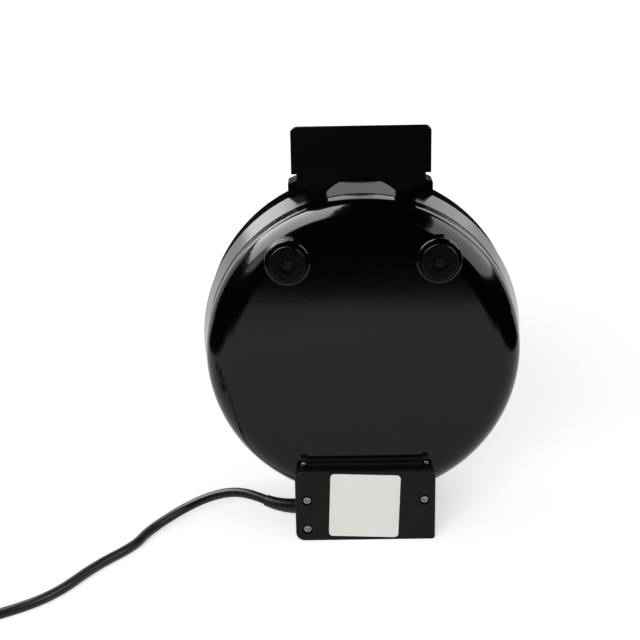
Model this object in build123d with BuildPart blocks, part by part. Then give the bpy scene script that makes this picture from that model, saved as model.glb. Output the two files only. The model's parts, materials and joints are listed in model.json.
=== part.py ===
from build123d import *
import math
import os

os.makedirs("parts", exist_ok=True)

# Electric muffin maker, stored upright on its rear housing, as the photograph shows it.
# Millimetres. X is to the right of someone who looks at the underside, Y runs from the
# underside (front) to the top of the lid (back), and Z is up. The floor is z = 0, and the
# origin is under the middle of the appliance's thickness.

# Driving dimensions: the round body, from its front to its back

rim_r = 119.5           # side wall at the parting line, where the body is widest
body_lift = 17.0        # from the floor to the lowest point of that wall
axis_z = rim_r + body_lift
foot_height = 12.0      # from the plane of feet and cover to the flat bottom
pan_depth = 34.0        # from the flat bottom to the seam with the side wall
wall_depth = 24.0       # from the seam to the parting line of base and lid
lid_skirt = 30.0        # from the parting line to the edge of the lid's shoulder
lid_crown = 14.0        # from there to the top of the lid

rim_flare = 4.5         # how far the side wall flares out from the seam to the parting line
seam_step = 0.4         # from the pan out to the side wall, at the seam
lid_set_in = 0.6        # from the parting line's rim in to the lid's skirt
shell_front_r = rim_r - rim_flare
pan_r = shell_front_r - seam_step
lid_r = rim_r - lid_set_in
shoulder_r = 22.0       # rolled corner between the flat bottom and the pan's wall
flat_r = pan_r - shoulder_r
lid_shoulder_r = 13.0   # rolled corner of the lid
crown_sag = 2.4         # how far the lid's top falls from its middle to its edge
hem_t = 1.0             # hem at the lid's open edge
frame_depth = 15.0      # ring inside the lid

sheet_t = 1.5           # wall of the drawn pan and the drawn lid
wall_t = 2.0            # wall of the moulded side ring
spigot_length = 4.0     # of its spigot inside the pan
flange_t = 1.5          # inner flanges that carry the baking plates
rim_gap = 0.8           # parting gap between base and lid
seam_gap = 0.8          # open groove between pan and side wall
snug_gap = 0.2          # clearance of a moulded piece that sits on a round wall

# Y stations

depth_total = foot_height + pan_depth + wall_depth + lid_skirt + lid_crown
y_front = -depth_total / 2
y_flat = y_front + foot_height
y_seam = y_flat + pan_depth
y_part = y_seam + wall_depth
y_base_rim = y_part - rim_gap / 2
y_lid_rim = y_part + rim_gap / 2
y_lid_edge = y_part + lid_skirt
y_lid_top = y_lid_edge + lid_crown

# Baking plates

plate_set_in = 12.5     # from the parting line's rim in to the edge of a baking plate
plate_seat_w = 7.0      # width of the flange under a plate's rim
plate_r = rim_r - plate_set_in
flange_r = plate_r - plate_seat_w
plate_t = 2.0           # plate between the cups
plate_rim_t = 4.0       # thicker rim that the screws hold
plate_rim_w = 10.0      # width of that rim
plate_gap = 1.4         # between the two mating faces when the lid is shut
cup_count = 6           # cups around the one in the middle
cup_edge_gap = 2.0      # from the outer cups' mouths to the plate's thicker rim
cup_gap = 14.0          # between the mouths of neighbouring cups
cup_top_r = (plate_r - plate_rim_w - cup_edge_gap - cup_gap) / 3
cup_taper = 5.5         # how much smaller a cup's bottom is, on the radius
cup_bottom_r = cup_top_r - cup_taper
cup_pitch_r = 2 * cup_top_r + cup_gap
cup_depth = 22.0
cup_round = 4.5         # radius between a cup's wall and its bottom
cup_lip = 1.0           # rounding of a cup's mouth

# Heaters and what stands on the plates' backs

heater_ring_r = cup_pitch_r / 2
heater_d = 6.5
heater_bend_r = 8.0
heater_half_gap = 28.0  # degrees each side of the ring's opening, which faces the hinge
heater_leg = 9.0        # straight end of the heater, square to the plate
pin_d = 2.4
pin_length = 7.0
plate_screw_bite = 3.2  # how far a plate screw goes into the rim
clip_screw_bite = 5.0
clip_reach = 12.0       # from the heater's ring out to the bosses of its three clips
clip_boss_r = heater_ring_r + clip_reach
clip_boss_d = 6.4
clip_t = 1.2
clip_w = 7.0
shield_t = 0.8
shield_margin = 10.0    # from the heater's ring out to the reflector's hole
shield_hole_r = heater_ring_r + shield_margin
shield_gap = 1.4        # between the cups' bottoms and the reflector

# Terminal box, its cover and the hinge

box_w = 102.6
box_h = 55.5
box_wall = 2.2
box_corner_r = 6.5
box_low_corner_r = 2.5  # the right lower corner is nearly square
least_corner_r = 0.5    # of the box's inside there
box_back_gap = 3.0      # from the box's back wall to the parting line
cover_t = 2.6
cover_edge_r = 1.0
cover_boss_r = 4.6      # thicker places under the cover's screws
cover_boss_h = 1.6
ledge_h = 6.0           # stepped ledge above the cover, riveted to the flat bottom
ledge_t = 3.0
ledge_step = 2.6
ear_tab_w = 4.4         # raised ends of the ledge
ear_tab_h = 1.5
rivet_d = 2.0
rivet_head_d = 3.4
rivet_head_h = 0.9
rivet_rise = 1.9        # rivets above the cover's top edge
rivet_edge_gap = 3.3    # from the edge of the flat bottom in to the rivets
rivet_z = box_h + rivet_rise
rivet_x = math.sqrt(flat_r**2 - (axis_z - rivet_z) ** 2) - rivet_edge_gap
ledge_w = 2 * rivet_x + rivet_head_d

screw_d = 3.0
screw_head_d = 6.0
screw_head_h = 1.7
screw_recess_d = 7.8
screw_recess_depth = 2.3
screw_length = 10.0
screw_end_gap = 1.0     # between a screw's tip and the bottom of its hole
hole_spare = 0.5        # by which the handles' screw holes are deeper than their screws
thread_end = 1.0        # of the feet's screws past their nuts
head_seat_gap = 0.06    # under a screw's head on a round wall
left_screw_inset = 8.6  # cover screws, from the box's sides
right_screw_inset = 7.9
cover_screw_spots = (
    (left_screw_inset - box_w / 2, 32.4),
    (left_screw_inset - box_w / 2, 9.4),
    (box_w / 2 - right_screw_inset, 32.1),
)
post_d = 7.0
post_length = 16.0
rib_t = 2.0

pivot_up = 12.0         # hinge axis above the floor, and the radius of its knuckles
pivot_back = 14.0       # hinge axis behind the parting line
hinge_pin_d = 5.0
pin_run_gap = 0.06      # running clearance round the hinge pins
pin_fit_gap = 0.02      # around the pins in the ears that hold them
ear_w = 7.4
ear_floor_gap = 0.2
pin_inset = 0.6         # the pins' ends lie this far inside the ears' faces
pin_end_gap = 0.5       # between a pin's inner end and the bottom of its bore
pin_chamfer = 0.5
hinge_side_gap = 0.4
knuckle_reach = 9.0     # how far each pin goes into the lid's housing
housing_depth = 36.0    # lid hinge housing, along Y
housing_h = 34.0
housing_edge_r = 4.0
housing_wall = 2.5
hinge_screw_inset = 15.5   # housing's screws, from its sides
lid_screw_setback = 10.2   # lid's wall screws behind its open edge

# Handles

grip_w = 100.0
grip_reach = 44.0       # from the rim to the grip's top, at its front edge
grip_root_gap = 9.5     # from the rim to the grip's underside
grip_corner_r = 4.5
grip_slope = 18.0       # degrees that the grip's end leans back
neck_step = 4.0         # neck narrower than the grip, on each side
saddle_step = 3.1       # lid's saddle wider than the grip, on each side
saddle_rise = 9.0       # lid's saddle above the rim
saddle_depth = 28.0     # from the rim to the lowest point that the saddle reaches
leg_depth = 14.0
leg_inset = 8.0         # legs' tops, from the neck's sides
leg_sink = 0.9          # and below the rim
leg_slope = 0.68        # how far a leg's outer edge leans in for each millimetre down
arch_rise = 6.7         # top of the arch above the rim
arch_r = 38.0
handle_front_gap = 1.0  # handle's front face behind the seam
lid_grip_depth = 22.0
lid_root_gap = 7.5      # from the rim to the underside of the lid's grip
handle_edge_r = 1.4
handle_screw_setback = 9.0    # base handle's screws in front of the base's rim
base_screw_inset = 6.6        # base handle's screws, from the legs' tops
lid_screw_inset = 13.1        # lid handle's screws, from the saddle's sides

grip_top = rim_r + grip_reach
grip_bottom = rim_r + grip_root_gap
lid_grip_bottom = rim_r + lid_root_gap
neck_w = grip_w - 2 * neck_step
saddle_w = grip_w + 2 * saddle_step
saddle_r = rim_r + saddle_rise
leg_top_half = neck_w / 2 - leg_inset
leg_top = rim_r - leg_sink
arch_top = rim_r + arch_rise

# Feet

foot_inset = 0.8        # feet's centres inside the edge of the flat bottom
foot_angle = 55.03      # degrees above the horizontal, as seen from the body's axis
foot_x = (flat_r - foot_inset) * math.cos(math.radians(foot_angle))
foot_up = (flat_r - foot_inset) * math.sin(math.radians(foot_angle))
foot_boss_r = 16.3
foot_boss_h = 9.0       # pressed boss above the flat bottom
foot_boss_round = 2.0
foot_pad_r = 13.0
foot_pad_round = 1.2
foot_recess_r = 6.3
foot_recess_depth = 2.0

# Indicator lamps in the lid

lamp_x = 9.0
lamp_up = 60.0          # above the body's axis
lamp_d = 8.0
lamp_proud = 1.0
lamp_holder_d = 10.0
lamp_holder_length = 9.0

# Wiring

wire_d = 2.2
wire_bend = 5.0
wire_bow = 17.0         # how far the wires stand above the pan's window
wire_slack = 3.0        # lower ends of that bow above the window
lane_x = 22.0           # long wire beside the thermostat
lane_hop = 8.0          # its bend above the thermostat's tab
lane_end = 35.0         # its lower end above the window
crossing_rise = 15.0    # short wire above the heater's pins
core_d = 2.0
core_pitch = 2.2
sleeve_d = 4.6
sleeve_grip = 3.0       # how far a push-on sleeve reaches past its pin
sleeve_gap = 1.0        # bare length of the pin at its root

# Cord clamp

clamp_front_t = 7.0
clamp_gap = 0.4         # between its two halves
clamp_corner_r = 1.5

# Mains cord

cord_d = 7.3
relief_length = 24.0
relief_root_d = 11.5
relief_tip_d = 8.7
relief_turn = 29.0      # degrees that the relief is bent by the cord
relief_rise = 24.0      # degrees by which that bend looks up instead of back
cord_exit_y = -29.0
cord_exit_z = 15.0
relief_flange_d = 13.0  # flange that holds the relief behind the box's wall
relief_flange_t = 2.0
lead_out = 13.0         # cord's first straight run
coil_pitch = 8.0        # from turn to turn of the coil
coil_rise = 7.9         # from its lower layer to its upper one
coil_wide_r = 46.0      # its widest half turn
coil_start_x = -318.0
coil_start_y = -177.0

plug_r = 18.5
plug_length = 50.0
plug_face_length = 14.0
plug_neck_r = 6.0
plug_pin_d = 4.8
plug_pin_length = 19.0
plug_pin_pitch = 19.0
plug_neck_flare = 1.5   # neck's end wider than its start
plug_neck_share = 0.4   # neck's part of the plug's length
plug_rim_round = 1.5
pin_tip_flat = 0.4      # flat left on a rounded pin's tip, on the radius
plug_x = -390.0
plug_rear_y = -104.0

# Places that several pieces share

lower_face = y_part - plate_gap / 2
upper_face = y_part + plate_gap / 2
flange_depth = plate_rim_t + flange_t       # from a mating face to the flange's far side
plate_back = cup_depth + plate_t            # from a mating face to the cups' bottoms
shield_depth = plate_back + shield_gap
plate_screw_r = (flange_r + plate_r) / 2
plate_screw_angles = (30, 150, 270)
clip_angles = (90, 210, 330)

cover_back = y_front + cover_t
box_back = y_part - box_back_gap
box_half = box_w / 2
pivot_y = y_part + pivot_back
ear_inner = box_half - ear_w
housing_half = ear_inner - hinge_side_gap

# Both baking sides are made lying flat, with the mating face on z = 0 and the back towards
# -Z, and are then turned up to face each other
lower_side = Plane(origin=(0, lower_face, axis_z), x_dir=(-1, 0, 0), z_dir=(0, 1, 0))
upper_side = Plane(origin=(0, upper_face, axis_z), x_dir=(1, 0, 0), z_dir=(0, -1, 0))
round_plane = Plane.XY.offset(axis_z)
round_axis = Axis((0, 0, axis_z), (0, 1, 0))


# Helpers


def front_plane(y):
    """Plane across Y at y: local x is X, local y is Z, and its normal looks to the front."""
    return Plane.XZ.offset(-y)


def finish(part, name):
    """Label a finished piece and write it."""
    part.label = name
    export_step(part, "parts/" + name + ".step")


def shell_r(y):
    """Outer radius of the flared side wall at a depth y."""
    return shell_front_r + (rim_r - shell_front_r) * (y - y_seam) / (y_base_rim - y_seam)


def crown_y(r):
    """Depth of the lid's crown at a distance r from its middle."""
    crown_radius = (lid_r**2 + crown_sag**2) / (2 * crown_sag)
    return y_lid_top - crown_radius + math.sqrt(crown_radius**2 - r**2)


def wall_plane(x, y, r, side, lean=0.0):
    """Plane on the round wall at radius r, above (side 1) or below (side -1) the axis.

    Its normal looks inward, and leans to the back by lean degrees.
    """
    seat_r = r - head_seat_gap
    up = side * math.sqrt(seat_r**2 - x**2)
    tilt = math.radians(lean)
    inward = (-x / seat_r * math.cos(tilt), math.sin(tilt), -up / seat_r * math.cos(tilt))
    return Plane(origin=(x, y, axis_z + up), z_dir=inward)


def base_envelope(grow):
    """Solid of the base's round outside, larger by grow, that saddles are cut with."""
    with BuildPart() as envelope:
        with BuildSketch(round_plane):
            with BuildLine():
                Polyline((0, y_flat - grow), (pan_r - shoulder_r, y_flat - grow))
                corner = JernArc(
                    (pan_r - shoulder_r, y_flat - grow), (1, 0), shoulder_r + grow, 90
                )
                Polyline(
                    corner @ 1,
                    (pan_r + grow, y_seam),
                    (shell_front_r + grow, y_seam),
                    (rim_r + grow, y_base_rim),
                    (rim_r + grow, y_base_rim + grow),
                    (0, y_base_rim + grow),
                    (0, y_flat - grow),
                )
            make_face()
        revolve(axis=round_axis)
    return envelope.part


def lid_envelope(grow):
    """Solid of the lid's outside, larger by grow except at its open side."""
    with BuildPart() as envelope:
        with BuildSketch(round_plane):
            with BuildLine():
                crown = ThreePointArc(
                    (0, y_lid_top + grow),
                    (lid_r / 2, crown_y(lid_r / 2) + grow),
                    (lid_r + grow, crown_y(lid_r) + grow),
                )
                Polyline(
                    crown @ 1,
                    (lid_r + grow, y_lid_rim),
                    (0, y_lid_rim),
                    (0, y_lid_top + grow),
                )
            make_face()
        revolve(axis=round_axis)
        rims = (
            envelope.edges()
            .filter_by(GeomType.CIRCLE)
            .filter_by(lambda edge: edge.radius < 2 * lid_r)
        )
        fillet(rims.group_by(Axis.Y)[-1], lid_shoulder_r + grow)
    return envelope.part


def pan_head_screw(length, head_d, head_h, shank_d):
    """Pan head screw with a cross recess; its head sits on z = 0 and its tip points to -Z."""
    with BuildPart() as screw:
        with BuildSketch():
            Circle(head_d / 2)
        extrude(amount=head_h)
        fillet(screw.edges().group_by(Axis.Z)[-1], head_h * 0.45)
        with BuildSketch():
            Circle(shank_d / 2)
        extrude(amount=-length)
        with BuildSketch(Plane.XY.offset(head_h)):
            Rectangle(head_d * 0.62, head_d * 0.16)
            Rectangle(head_d * 0.16, head_d * 0.62)
        extrude(amount=-head_h * 0.55, mode=Mode.SUBTRACT)
    return screw.part


def screw_group(screw, planes):
    """The same screw at several places, its head on each plane."""
    with BuildPart() as group:
        for plane in planes:
            add(plane.location * screw)
    return group.part


def wire(points, bend, diameter):
    """Round wire along straight runs with bends of one radius."""
    with BuildPart() as run:
        with BuildLine() as route:
            FilletPolyline(*points, radius=bend)
        with BuildSketch(Plane(origin=route.line @ 0, z_dir=route.line % 0)):
            Circle(diameter / 2)
        sweep(path=route.line)
    return run.part


# Bottom pan: one drawn sheet with its rolled shoulder and two pressed bosses for the feet

foot_spots = ((-foot_x, axis_z + foot_up), (foot_x, axis_z + foot_up))
foot_boss_front = y_flat - foot_boss_h
pan_back = y_seam - seam_gap
rivet_spots = ((-rivet_x, rivet_z), (rivet_x, rivet_z))
window_w = 34.0
window_low = 14.0
window_high = 45.0
window_corner_r = 3.0

with BuildPart() as bottom_pan:
    with BuildSketch(round_plane):
        with BuildLine():
            flat_line = Line((0, y_flat), (pan_r - shoulder_r, y_flat))
            rolled = JernArc(flat_line @ 1, flat_line % 1, shoulder_r, 90)
            Polyline(rolled @ 1, (pan_r, pan_back), (0, pan_back), (0, y_flat))
        make_face()
    revolve(axis=round_axis)
    with BuildSketch(front_plane(foot_boss_front)):
        with Locations(*foot_spots):
            Circle(foot_boss_r)
    extrude(amount=-(pan_back - foot_boss_front) / 2)
    boss_rims = bottom_pan.edges().filter_by(GeomType.CIRCLE).group_by(Axis.Y)[0]
    fillet(boss_rims, foot_boss_round)
    pan_mouth = bottom_pan.faces().sort_by(Axis.Y)[-1]
    offset(amount=-sheet_t, openings=pan_mouth)
    # Holes for the feet's screws and the ledge's rivets
    with BuildSketch(front_plane(y_front)):
        with Locations(*foot_spots):
            Circle(screw_d / 2)
        with Locations(*rivet_spots):
            Circle(rivet_d / 2)
    extrude(amount=-(y_flat + pan_depth / 2 - y_front), mode=Mode.SUBTRACT)
    # Window for the wires that come up from the terminal box
    with BuildSketch(front_plane(y_front)):
        with Locations((0, (window_low + window_high) / 2)):
            RectangleRounded(window_w, window_high - window_low, window_corner_r)
    extrude(amount=-(y_flat + pan_depth * 0.8 - y_front), mode=Mode.SUBTRACT)
finish(bottom_pan.part, "bottom_pan")

# Side ring: the flared wall, a spigot that centres the pan, and the flange under the plate

lower_flange_back = lower_face - plate_rim_t
lower_flange_front = lower_face - flange_depth
spigot_r = pan_r - sheet_t
handle_screw_y = y_base_rim - handle_screw_setback
base_handle_screw_x = leg_top_half - base_screw_inset
flare = math.degrees(math.atan((rim_r - shell_front_r) / (y_base_rim - y_seam)))
base_screw_planes = [
    wall_plane(x, handle_screw_y, shell_r(handle_screw_y) - wall_t, 1, flare)
    for x in (-base_handle_screw_x, base_handle_screw_x)
]

with BuildPart() as side_ring:
    with BuildSketch(round_plane):
        Polygon(
            (spigot_r - wall_t, y_seam - spigot_length),
            (spigot_r, y_seam - spigot_length),
            (spigot_r, y_seam),
            (shell_front_r, y_seam),
            (rim_r, y_base_rim),
            (rim_r - wall_t, y_base_rim),
            (shell_r(lower_flange_back) - wall_t, lower_flange_back),
            (flange_r, lower_flange_back),
            (flange_r, lower_flange_front),
            (shell_r(lower_flange_front) - wall_t, lower_flange_front),
            (shell_r(y_seam + wall_t) - wall_t, y_seam + wall_t),
            (spigot_r - wall_t, y_seam + wall_t),
            align=None,
        )
    revolve(axis=round_axis)
    with BuildSketch(front_plane(lower_face)):
        with Locations((0, axis_z)):
            with PolarLocations(plate_screw_r, 3, plate_screw_angles[0]):
                Circle(screw_d / 2)
    extrude(amount=flange_depth + flange_t, mode=Mode.SUBTRACT)
    with BuildSketch(*base_screw_planes):
        Circle(screw_d / 2)
    extrude(amount=wall_t * 2, both=True, mode=Mode.SUBTRACT)
finish(side_ring.part, "side_ring")

# Feet: rubber pads on the pressed bosses, each held by a screw and a nut

nut_w = 5.5
nut_h = 2.4

with BuildPart() as foot_pads:
    with BuildSketch(front_plane(foot_boss_front)):
        with Locations(*foot_spots):
            Circle(foot_pad_r)
    extrude(amount=foot_boss_front - y_front)
    pad_rims = foot_pads.edges().group_by(Axis.Y)[0]
    fillet(pad_rims, foot_pad_round)
    with BuildSketch(front_plane(y_front)):
        with Locations(*foot_spots):
            Circle(foot_recess_r)
    extrude(amount=-foot_recess_depth, mode=Mode.SUBTRACT)
    with BuildSketch(front_plane(y_front)):
        with Locations(*foot_spots):
            Circle(screw_d / 2)
    extrude(amount=-(foot_boss_front - y_front), mode=Mode.SUBTRACT)
finish(foot_pads.part, "foot_pads")

foot_screw_seat = y_front + foot_recess_depth
foot_nut_front = foot_boss_front + sheet_t
foot_screw_length = foot_nut_front + nut_h - foot_screw_seat + thread_end
foot_screw = pan_head_screw(foot_screw_length, screw_head_d, screw_head_h, screw_d)
foot_screw_planes = [
    Plane(origin=(x, foot_screw_seat, z), z_dir=(0, -1, 0)) for x, z in foot_spots
]
with BuildPart() as foot_screws:
    add(screw_group(foot_screw, foot_screw_planes))
finish(foot_screws.part, "foot_screws")

with BuildPart() as foot_nuts:
    with BuildSketch(front_plane(foot_nut_front)):
        with Locations(*foot_spots):
            RegularPolygon(nut_w / 2, 6, major_radius=False)
        with Locations(*foot_spots):
            Circle(screw_d / 2, mode=Mode.SUBTRACT)
    extrude(amount=-nut_h)
finish(foot_nuts.part, "foot_nuts")

# Baking plates: seven cups in a non-stick casting with a thick rim

cup_spots = [(0, 0)] + [
    (
        cup_pitch_r * math.cos(2 * math.pi * k / cup_count),
        cup_pitch_r * math.sin(2 * math.pi * k / cup_count),
    )
    for k in range(cup_count)
]


def ring_spots(r, angles):
    """Points at a radius r and at each of the angles, in degrees."""
    return [(r * math.cos(math.radians(a)), r * math.sin(math.radians(a))) for a in angles]


def baking_plate():
    """Baking plate lying flat, its mating face on z = 0."""
    with BuildPart() as plate:
        with BuildSketch():
            Circle(plate_r)
        extrude(amount=-plate_rim_t)
        with BuildSketch(Plane.XY.offset(-plate_rim_t)):
            Circle(plate_r - plate_rim_w)
        extrude(amount=plate_rim_t - plate_t, mode=Mode.SUBTRACT)
        with Locations(*cup_spots):
            Cone(
                cup_bottom_r + plate_t,
                cup_top_r + plate_t,
                plate_back,
                align=(Align.CENTER, Align.CENTER, Align.MAX),
            )
        outer_bottoms = plate.edges().filter_by(GeomType.CIRCLE).group_by(Axis.Z)[0]
        chamfer(outer_bottoms, plate_t)
        with BuildSketch(Plane.XY.offset(-plate_t)):
            with Locations(*ring_spots(clip_boss_r, clip_angles)):
                Circle(clip_boss_d / 2)
        extrude(amount=-heater_d)
        with Locations(*cup_spots):
            Cone(
                cup_bottom_r,
                cup_top_r,
                cup_depth,
                align=(Align.CENTER, Align.CENTER, Align.MAX),
                mode=Mode.SUBTRACT,
            )
        inner_bottoms = plate.edges().filter_by(GeomType.CIRCLE).filter_by_position(
            Axis.Z, -cup_depth - 0.01, -cup_depth + 0.01
        )
        fillet(inner_bottoms, cup_round)
        mouths = (
            plate.edges()
            .filter_by(GeomType.CIRCLE)
            .group_by(Axis.Z)[-1]
            .filter_by(lambda edge: edge.radius < plate_r - plate_rim_w)
        )
        fillet(mouths, cup_lip)
        with BuildSketch(Plane.XY.offset(-plate_rim_t)):
            with Locations(*ring_spots(plate_screw_r, plate_screw_angles)):
                Circle(screw_d / 2)
        extrude(amount=plate_screw_bite, mode=Mode.SUBTRACT)
        with BuildSketch(Plane.XY.offset(-plate_t - heater_d)):
            with Locations(*ring_spots(clip_boss_r, clip_angles)):
                Circle(screw_d / 2)
        extrude(amount=clip_screw_bite, mode=Mode.SUBTRACT)
    return plate.part


flat_plate = baking_plate()

thermostat_d = 16.0
thermostat_h = 10.0
thermostat_boss_x = 15.0
clamp_w = 8.0
clamp_t = 1.0
thermostat_seat = lower_face - plate_back
thermostat_front = thermostat_seat - thermostat_h
thermostat_spots = ((-thermostat_boss_x, axis_z), (thermostat_boss_x, axis_z))

with BuildPart() as lower_plate:
    add(lower_side.location * flat_plate)
    with BuildSketch(front_plane(thermostat_seat)):
        with Locations(*thermostat_spots):
            Circle(clip_boss_d / 2)
    extrude(amount=thermostat_h)
    with BuildSketch(front_plane(thermostat_front)):
        with Locations(*thermostat_spots):
            Circle(screw_d / 2)
    extrude(amount=-clip_screw_bite, mode=Mode.SUBTRACT)
finish(lower_plate.part, "lower_plate")

with BuildPart() as upper_plate:
    add(upper_side.location * flat_plate)
finish(upper_plate.part, "upper_plate")

# Screws that hold each plate and its reflector against the flange, from behind

plate_screw = pan_head_screw(
    shield_t + flange_t + plate_screw_bite, screw_head_d, screw_head_h, screw_d
)
flat_plate_screws = screw_group(
    plate_screw,
    [
        Plane(origin=(x, y, -flange_depth - shield_t), z_dir=(0, 0, -1))
        for x, y in ring_spots(plate_screw_r, plate_screw_angles)
    ],
)
with BuildPart() as lower_plate_screws:
    add(lower_side.location * flat_plate_screws)
finish(lower_plate_screws.part, "lower_plate_screws")

with BuildPart() as upper_plate_screws:
    add(upper_side.location * flat_plate_screws)
finish(upper_plate_screws.part, "upper_plate_screws")

# Heaters: a tube bent to a ring between the cups, its ends turned away from the plate

heater_z = -plate_t - heater_d / 2
half_gap = math.radians(heater_half_gap)
ring_end = Vector(
    -heater_ring_r * math.sin(half_gap), -heater_ring_r * math.cos(half_gap), heater_z
)
end_tangent = Vector(math.cos(half_gap), -math.sin(half_gap), 0)
leg_top_point = ring_end + end_tangent * heater_bend_r - Vector(0, 0, heater_bend_r)
leg_end_point = leg_top_point - Vector(0, 0, heater_leg)


def mirrored(point):
    """The same point on the other side of the plane x = 0."""
    return Vector(-point.X, point.Y, point.Z)


with BuildPart() as flat_heater:
    with BuildLine() as heater_path:
        Line(mirrored(leg_end_point), mirrored(leg_top_point))
        TangentArc(mirrored(leg_top_point), mirrored(ring_end), tangent=(0, 0, 1))
        CenterArc(
            (0, 0, heater_z),
            heater_ring_r,
            270 + heater_half_gap,
            360 - 2 * heater_half_gap,
        )
        TangentArc(ring_end, leg_top_point, tangent=end_tangent)
        Line(leg_top_point, leg_end_point)
    with BuildSketch(Plane(origin=mirrored(leg_end_point), z_dir=(0, 0, 1))):
        Circle(heater_d / 2)
    sweep(path=heater_path.line)

pin_spots = ((leg_end_point.X, leg_end_point.Y), (-leg_end_point.X, leg_end_point.Y))
with BuildPart() as flat_heater_pins:
    with BuildSketch(Plane.XY.offset(leg_end_point.Z)):
        with Locations(*pin_spots):
            Circle(pin_d / 2)
    extrude(amount=-pin_length)

# Clips that press the heater to the plate, each with its screw

clip_face = -plate_t - heater_d
with BuildPart() as flat_clips:
    with BuildSketch(Plane.XY.offset(clip_face)):
        with PolarLocations((clip_boss_r + heater_ring_r) / 2, 3, clip_angles[0]):
            SlotCenterToCenter(clip_reach, clip_w)
        with Locations(*ring_spots(clip_boss_r, clip_angles)):
            Circle(screw_d / 2, mode=Mode.SUBTRACT)
    extrude(amount=-clip_t)

clip_screw = pan_head_screw(clip_t + clip_screw_bite, screw_head_d, screw_head_h, screw_d)
flat_clip_screws = screw_group(
    clip_screw,
    [
        Plane(origin=(x, y, clip_face - clip_t), z_dir=(0, 0, -1))
        for x, y in ring_spots(clip_boss_r, clip_angles)
    ],
)

# Reflectors: dished sheets that keep the heat at the plates

shield_wall_r = flange_r - snug_gap * 3
shield_lip_r = plate_r + plate_t / 2
with BuildPart() as flat_shield:
    with BuildSketch(Plane.XZ):
        Polygon(
            (shield_hole_r, -shield_depth),
            (shield_wall_r - shield_t, -shield_depth),
            (shield_wall_r - shield_t, -flange_depth),
            (shield_lip_r, -flange_depth),
            (shield_lip_r, -flange_depth - shield_t),
            (shield_wall_r, -flange_depth - shield_t),
            (shield_wall_r, -shield_depth - shield_t),
            (shield_hole_r, -shield_depth - shield_t),
            align=None,
        )
    revolve(axis=Axis.Z)
    with BuildSketch(Plane.XY.offset(-flange_depth)):
        with Locations(*ring_spots(plate_screw_r, plate_screw_angles)):
            Circle(screw_d / 2)
    extrude(amount=-shield_t, mode=Mode.SUBTRACT)

for side_name, side_plane in (("lower", lower_side), ("upper", upper_side)):
    with BuildPart() as heater:
        add(side_plane.location * flat_heater.part)
    finish(heater.part, side_name + "_heater")
    with BuildPart() as heater_pins:
        add(side_plane.location * flat_heater_pins.part)
    finish(heater_pins.part, side_name + "_heater_pins")
    with BuildPart() as heater_clips:
        add(side_plane.location * flat_clips.part)
    finish(heater_clips.part, side_name + "_heater_clips")
    with BuildPart() as clip_screws:
        add(side_plane.location * flat_clip_screws)
    finish(clip_screws.part, side_name + "_clip_screws")
    with BuildPart() as heat_shield:
        add(side_plane.location * flat_shield.part)
    finish(heat_shield.part, side_name + "_heat_shield")

# Thermostat on the back of the middle cup, under a clamp with two screws

with BuildPart() as thermostat:
    with BuildSketch(front_plane(thermostat_seat)):
        with Locations((0, axis_z)):
            Circle(thermostat_d / 2)
    extrude(amount=thermostat_h)
    tab_w = 4.0
    tab_t = 0.8
    tab_length = 7.0
    tab_up = clamp_w / 2 + 2.2
    with BuildSketch(front_plane(thermostat_front)):
        with Locations((0, axis_z - tab_up), (0, axis_z + tab_up)):
            Rectangle(tab_w, tab_t)
    extrude(amount=tab_length)
finish(thermostat.part, "thermostat")

with BuildPart() as thermostat_clamp:
    with BuildSketch(front_plane(thermostat_front)):
        with Locations((0, axis_z)):
            SlotCenterToCenter(thermostat_boss_x * 2, clamp_w)
        with Locations(*thermostat_spots):
            Circle(screw_d / 2, mode=Mode.SUBTRACT)
    extrude(amount=clamp_t)
finish(thermostat_clamp.part, "thermostat_clamp")

thermostat_screw = pan_head_screw(
    clamp_t + clip_screw_bite, screw_head_d, screw_head_h, screw_d
)
thermostat_screw_planes = [
    Plane(origin=(x, thermostat_front - clamp_t, z), z_dir=(0, -1, 0))
    for x, z in thermostat_spots
]
with BuildPart() as thermostat_screws:
    add(screw_group(thermostat_screw, thermostat_screw_planes))
finish(thermostat_screws.part, "thermostat_screws")

# Terminal box behind the cover: open at its front, saddled to the round body, with the
# hinge's ears at its back and the ledge that is riveted to the flat bottom


def box_outline(inset):
    """Outline of the terminal box seen from the front, smaller by inset all round."""
    with BuildSketch() as outline:
        with Locations((0, box_h / 2)):
            Rectangle(box_w - 2 * inset, box_h - 2 * inset)
        fillet(outline.vertices().group_by(Axis.Y)[-1], box_corner_r - inset)
        low_left = outline.vertices().group_by(Axis.Y)[0].sort_by(Axis.X)[0]
        fillet(low_left, box_corner_r - inset)
        low_right = outline.vertices().group_by(Axis.Y)[0].sort_by(Axis.X)[-1]
        fillet(low_right, max(box_low_corner_r - inset, least_corner_r))
    return outline.sketch


box_outside = box_outline(0)
box_inside = box_outline(box_wall)
round_base = base_envelope(snug_gap)
post_front = cover_back + cover_boss_h
relief_neck_d = relief_root_d - 2.0
ledge_front = y_flat - ledge_t
step_front = ledge_front - ledge_step
ledge_top = box_h + ledge_h
step_half = rivet_x - rivet_head_d
clamp_x = -29.0
clamp_len = 8.0
clamp_back_t = 7.0
clamp_low = 2 * box_wall
clamp_high = 2 * cord_exit_z - clamp_low
clamp_split = cord_exit_y - clamp_gap / 2
block_w = 30.0
block_d = 20.0
block_h = 11.0
block_edge = 1.0
block_hole_r = 2.2
block_hole_depth = 3.0
block_y = -27.0

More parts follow.
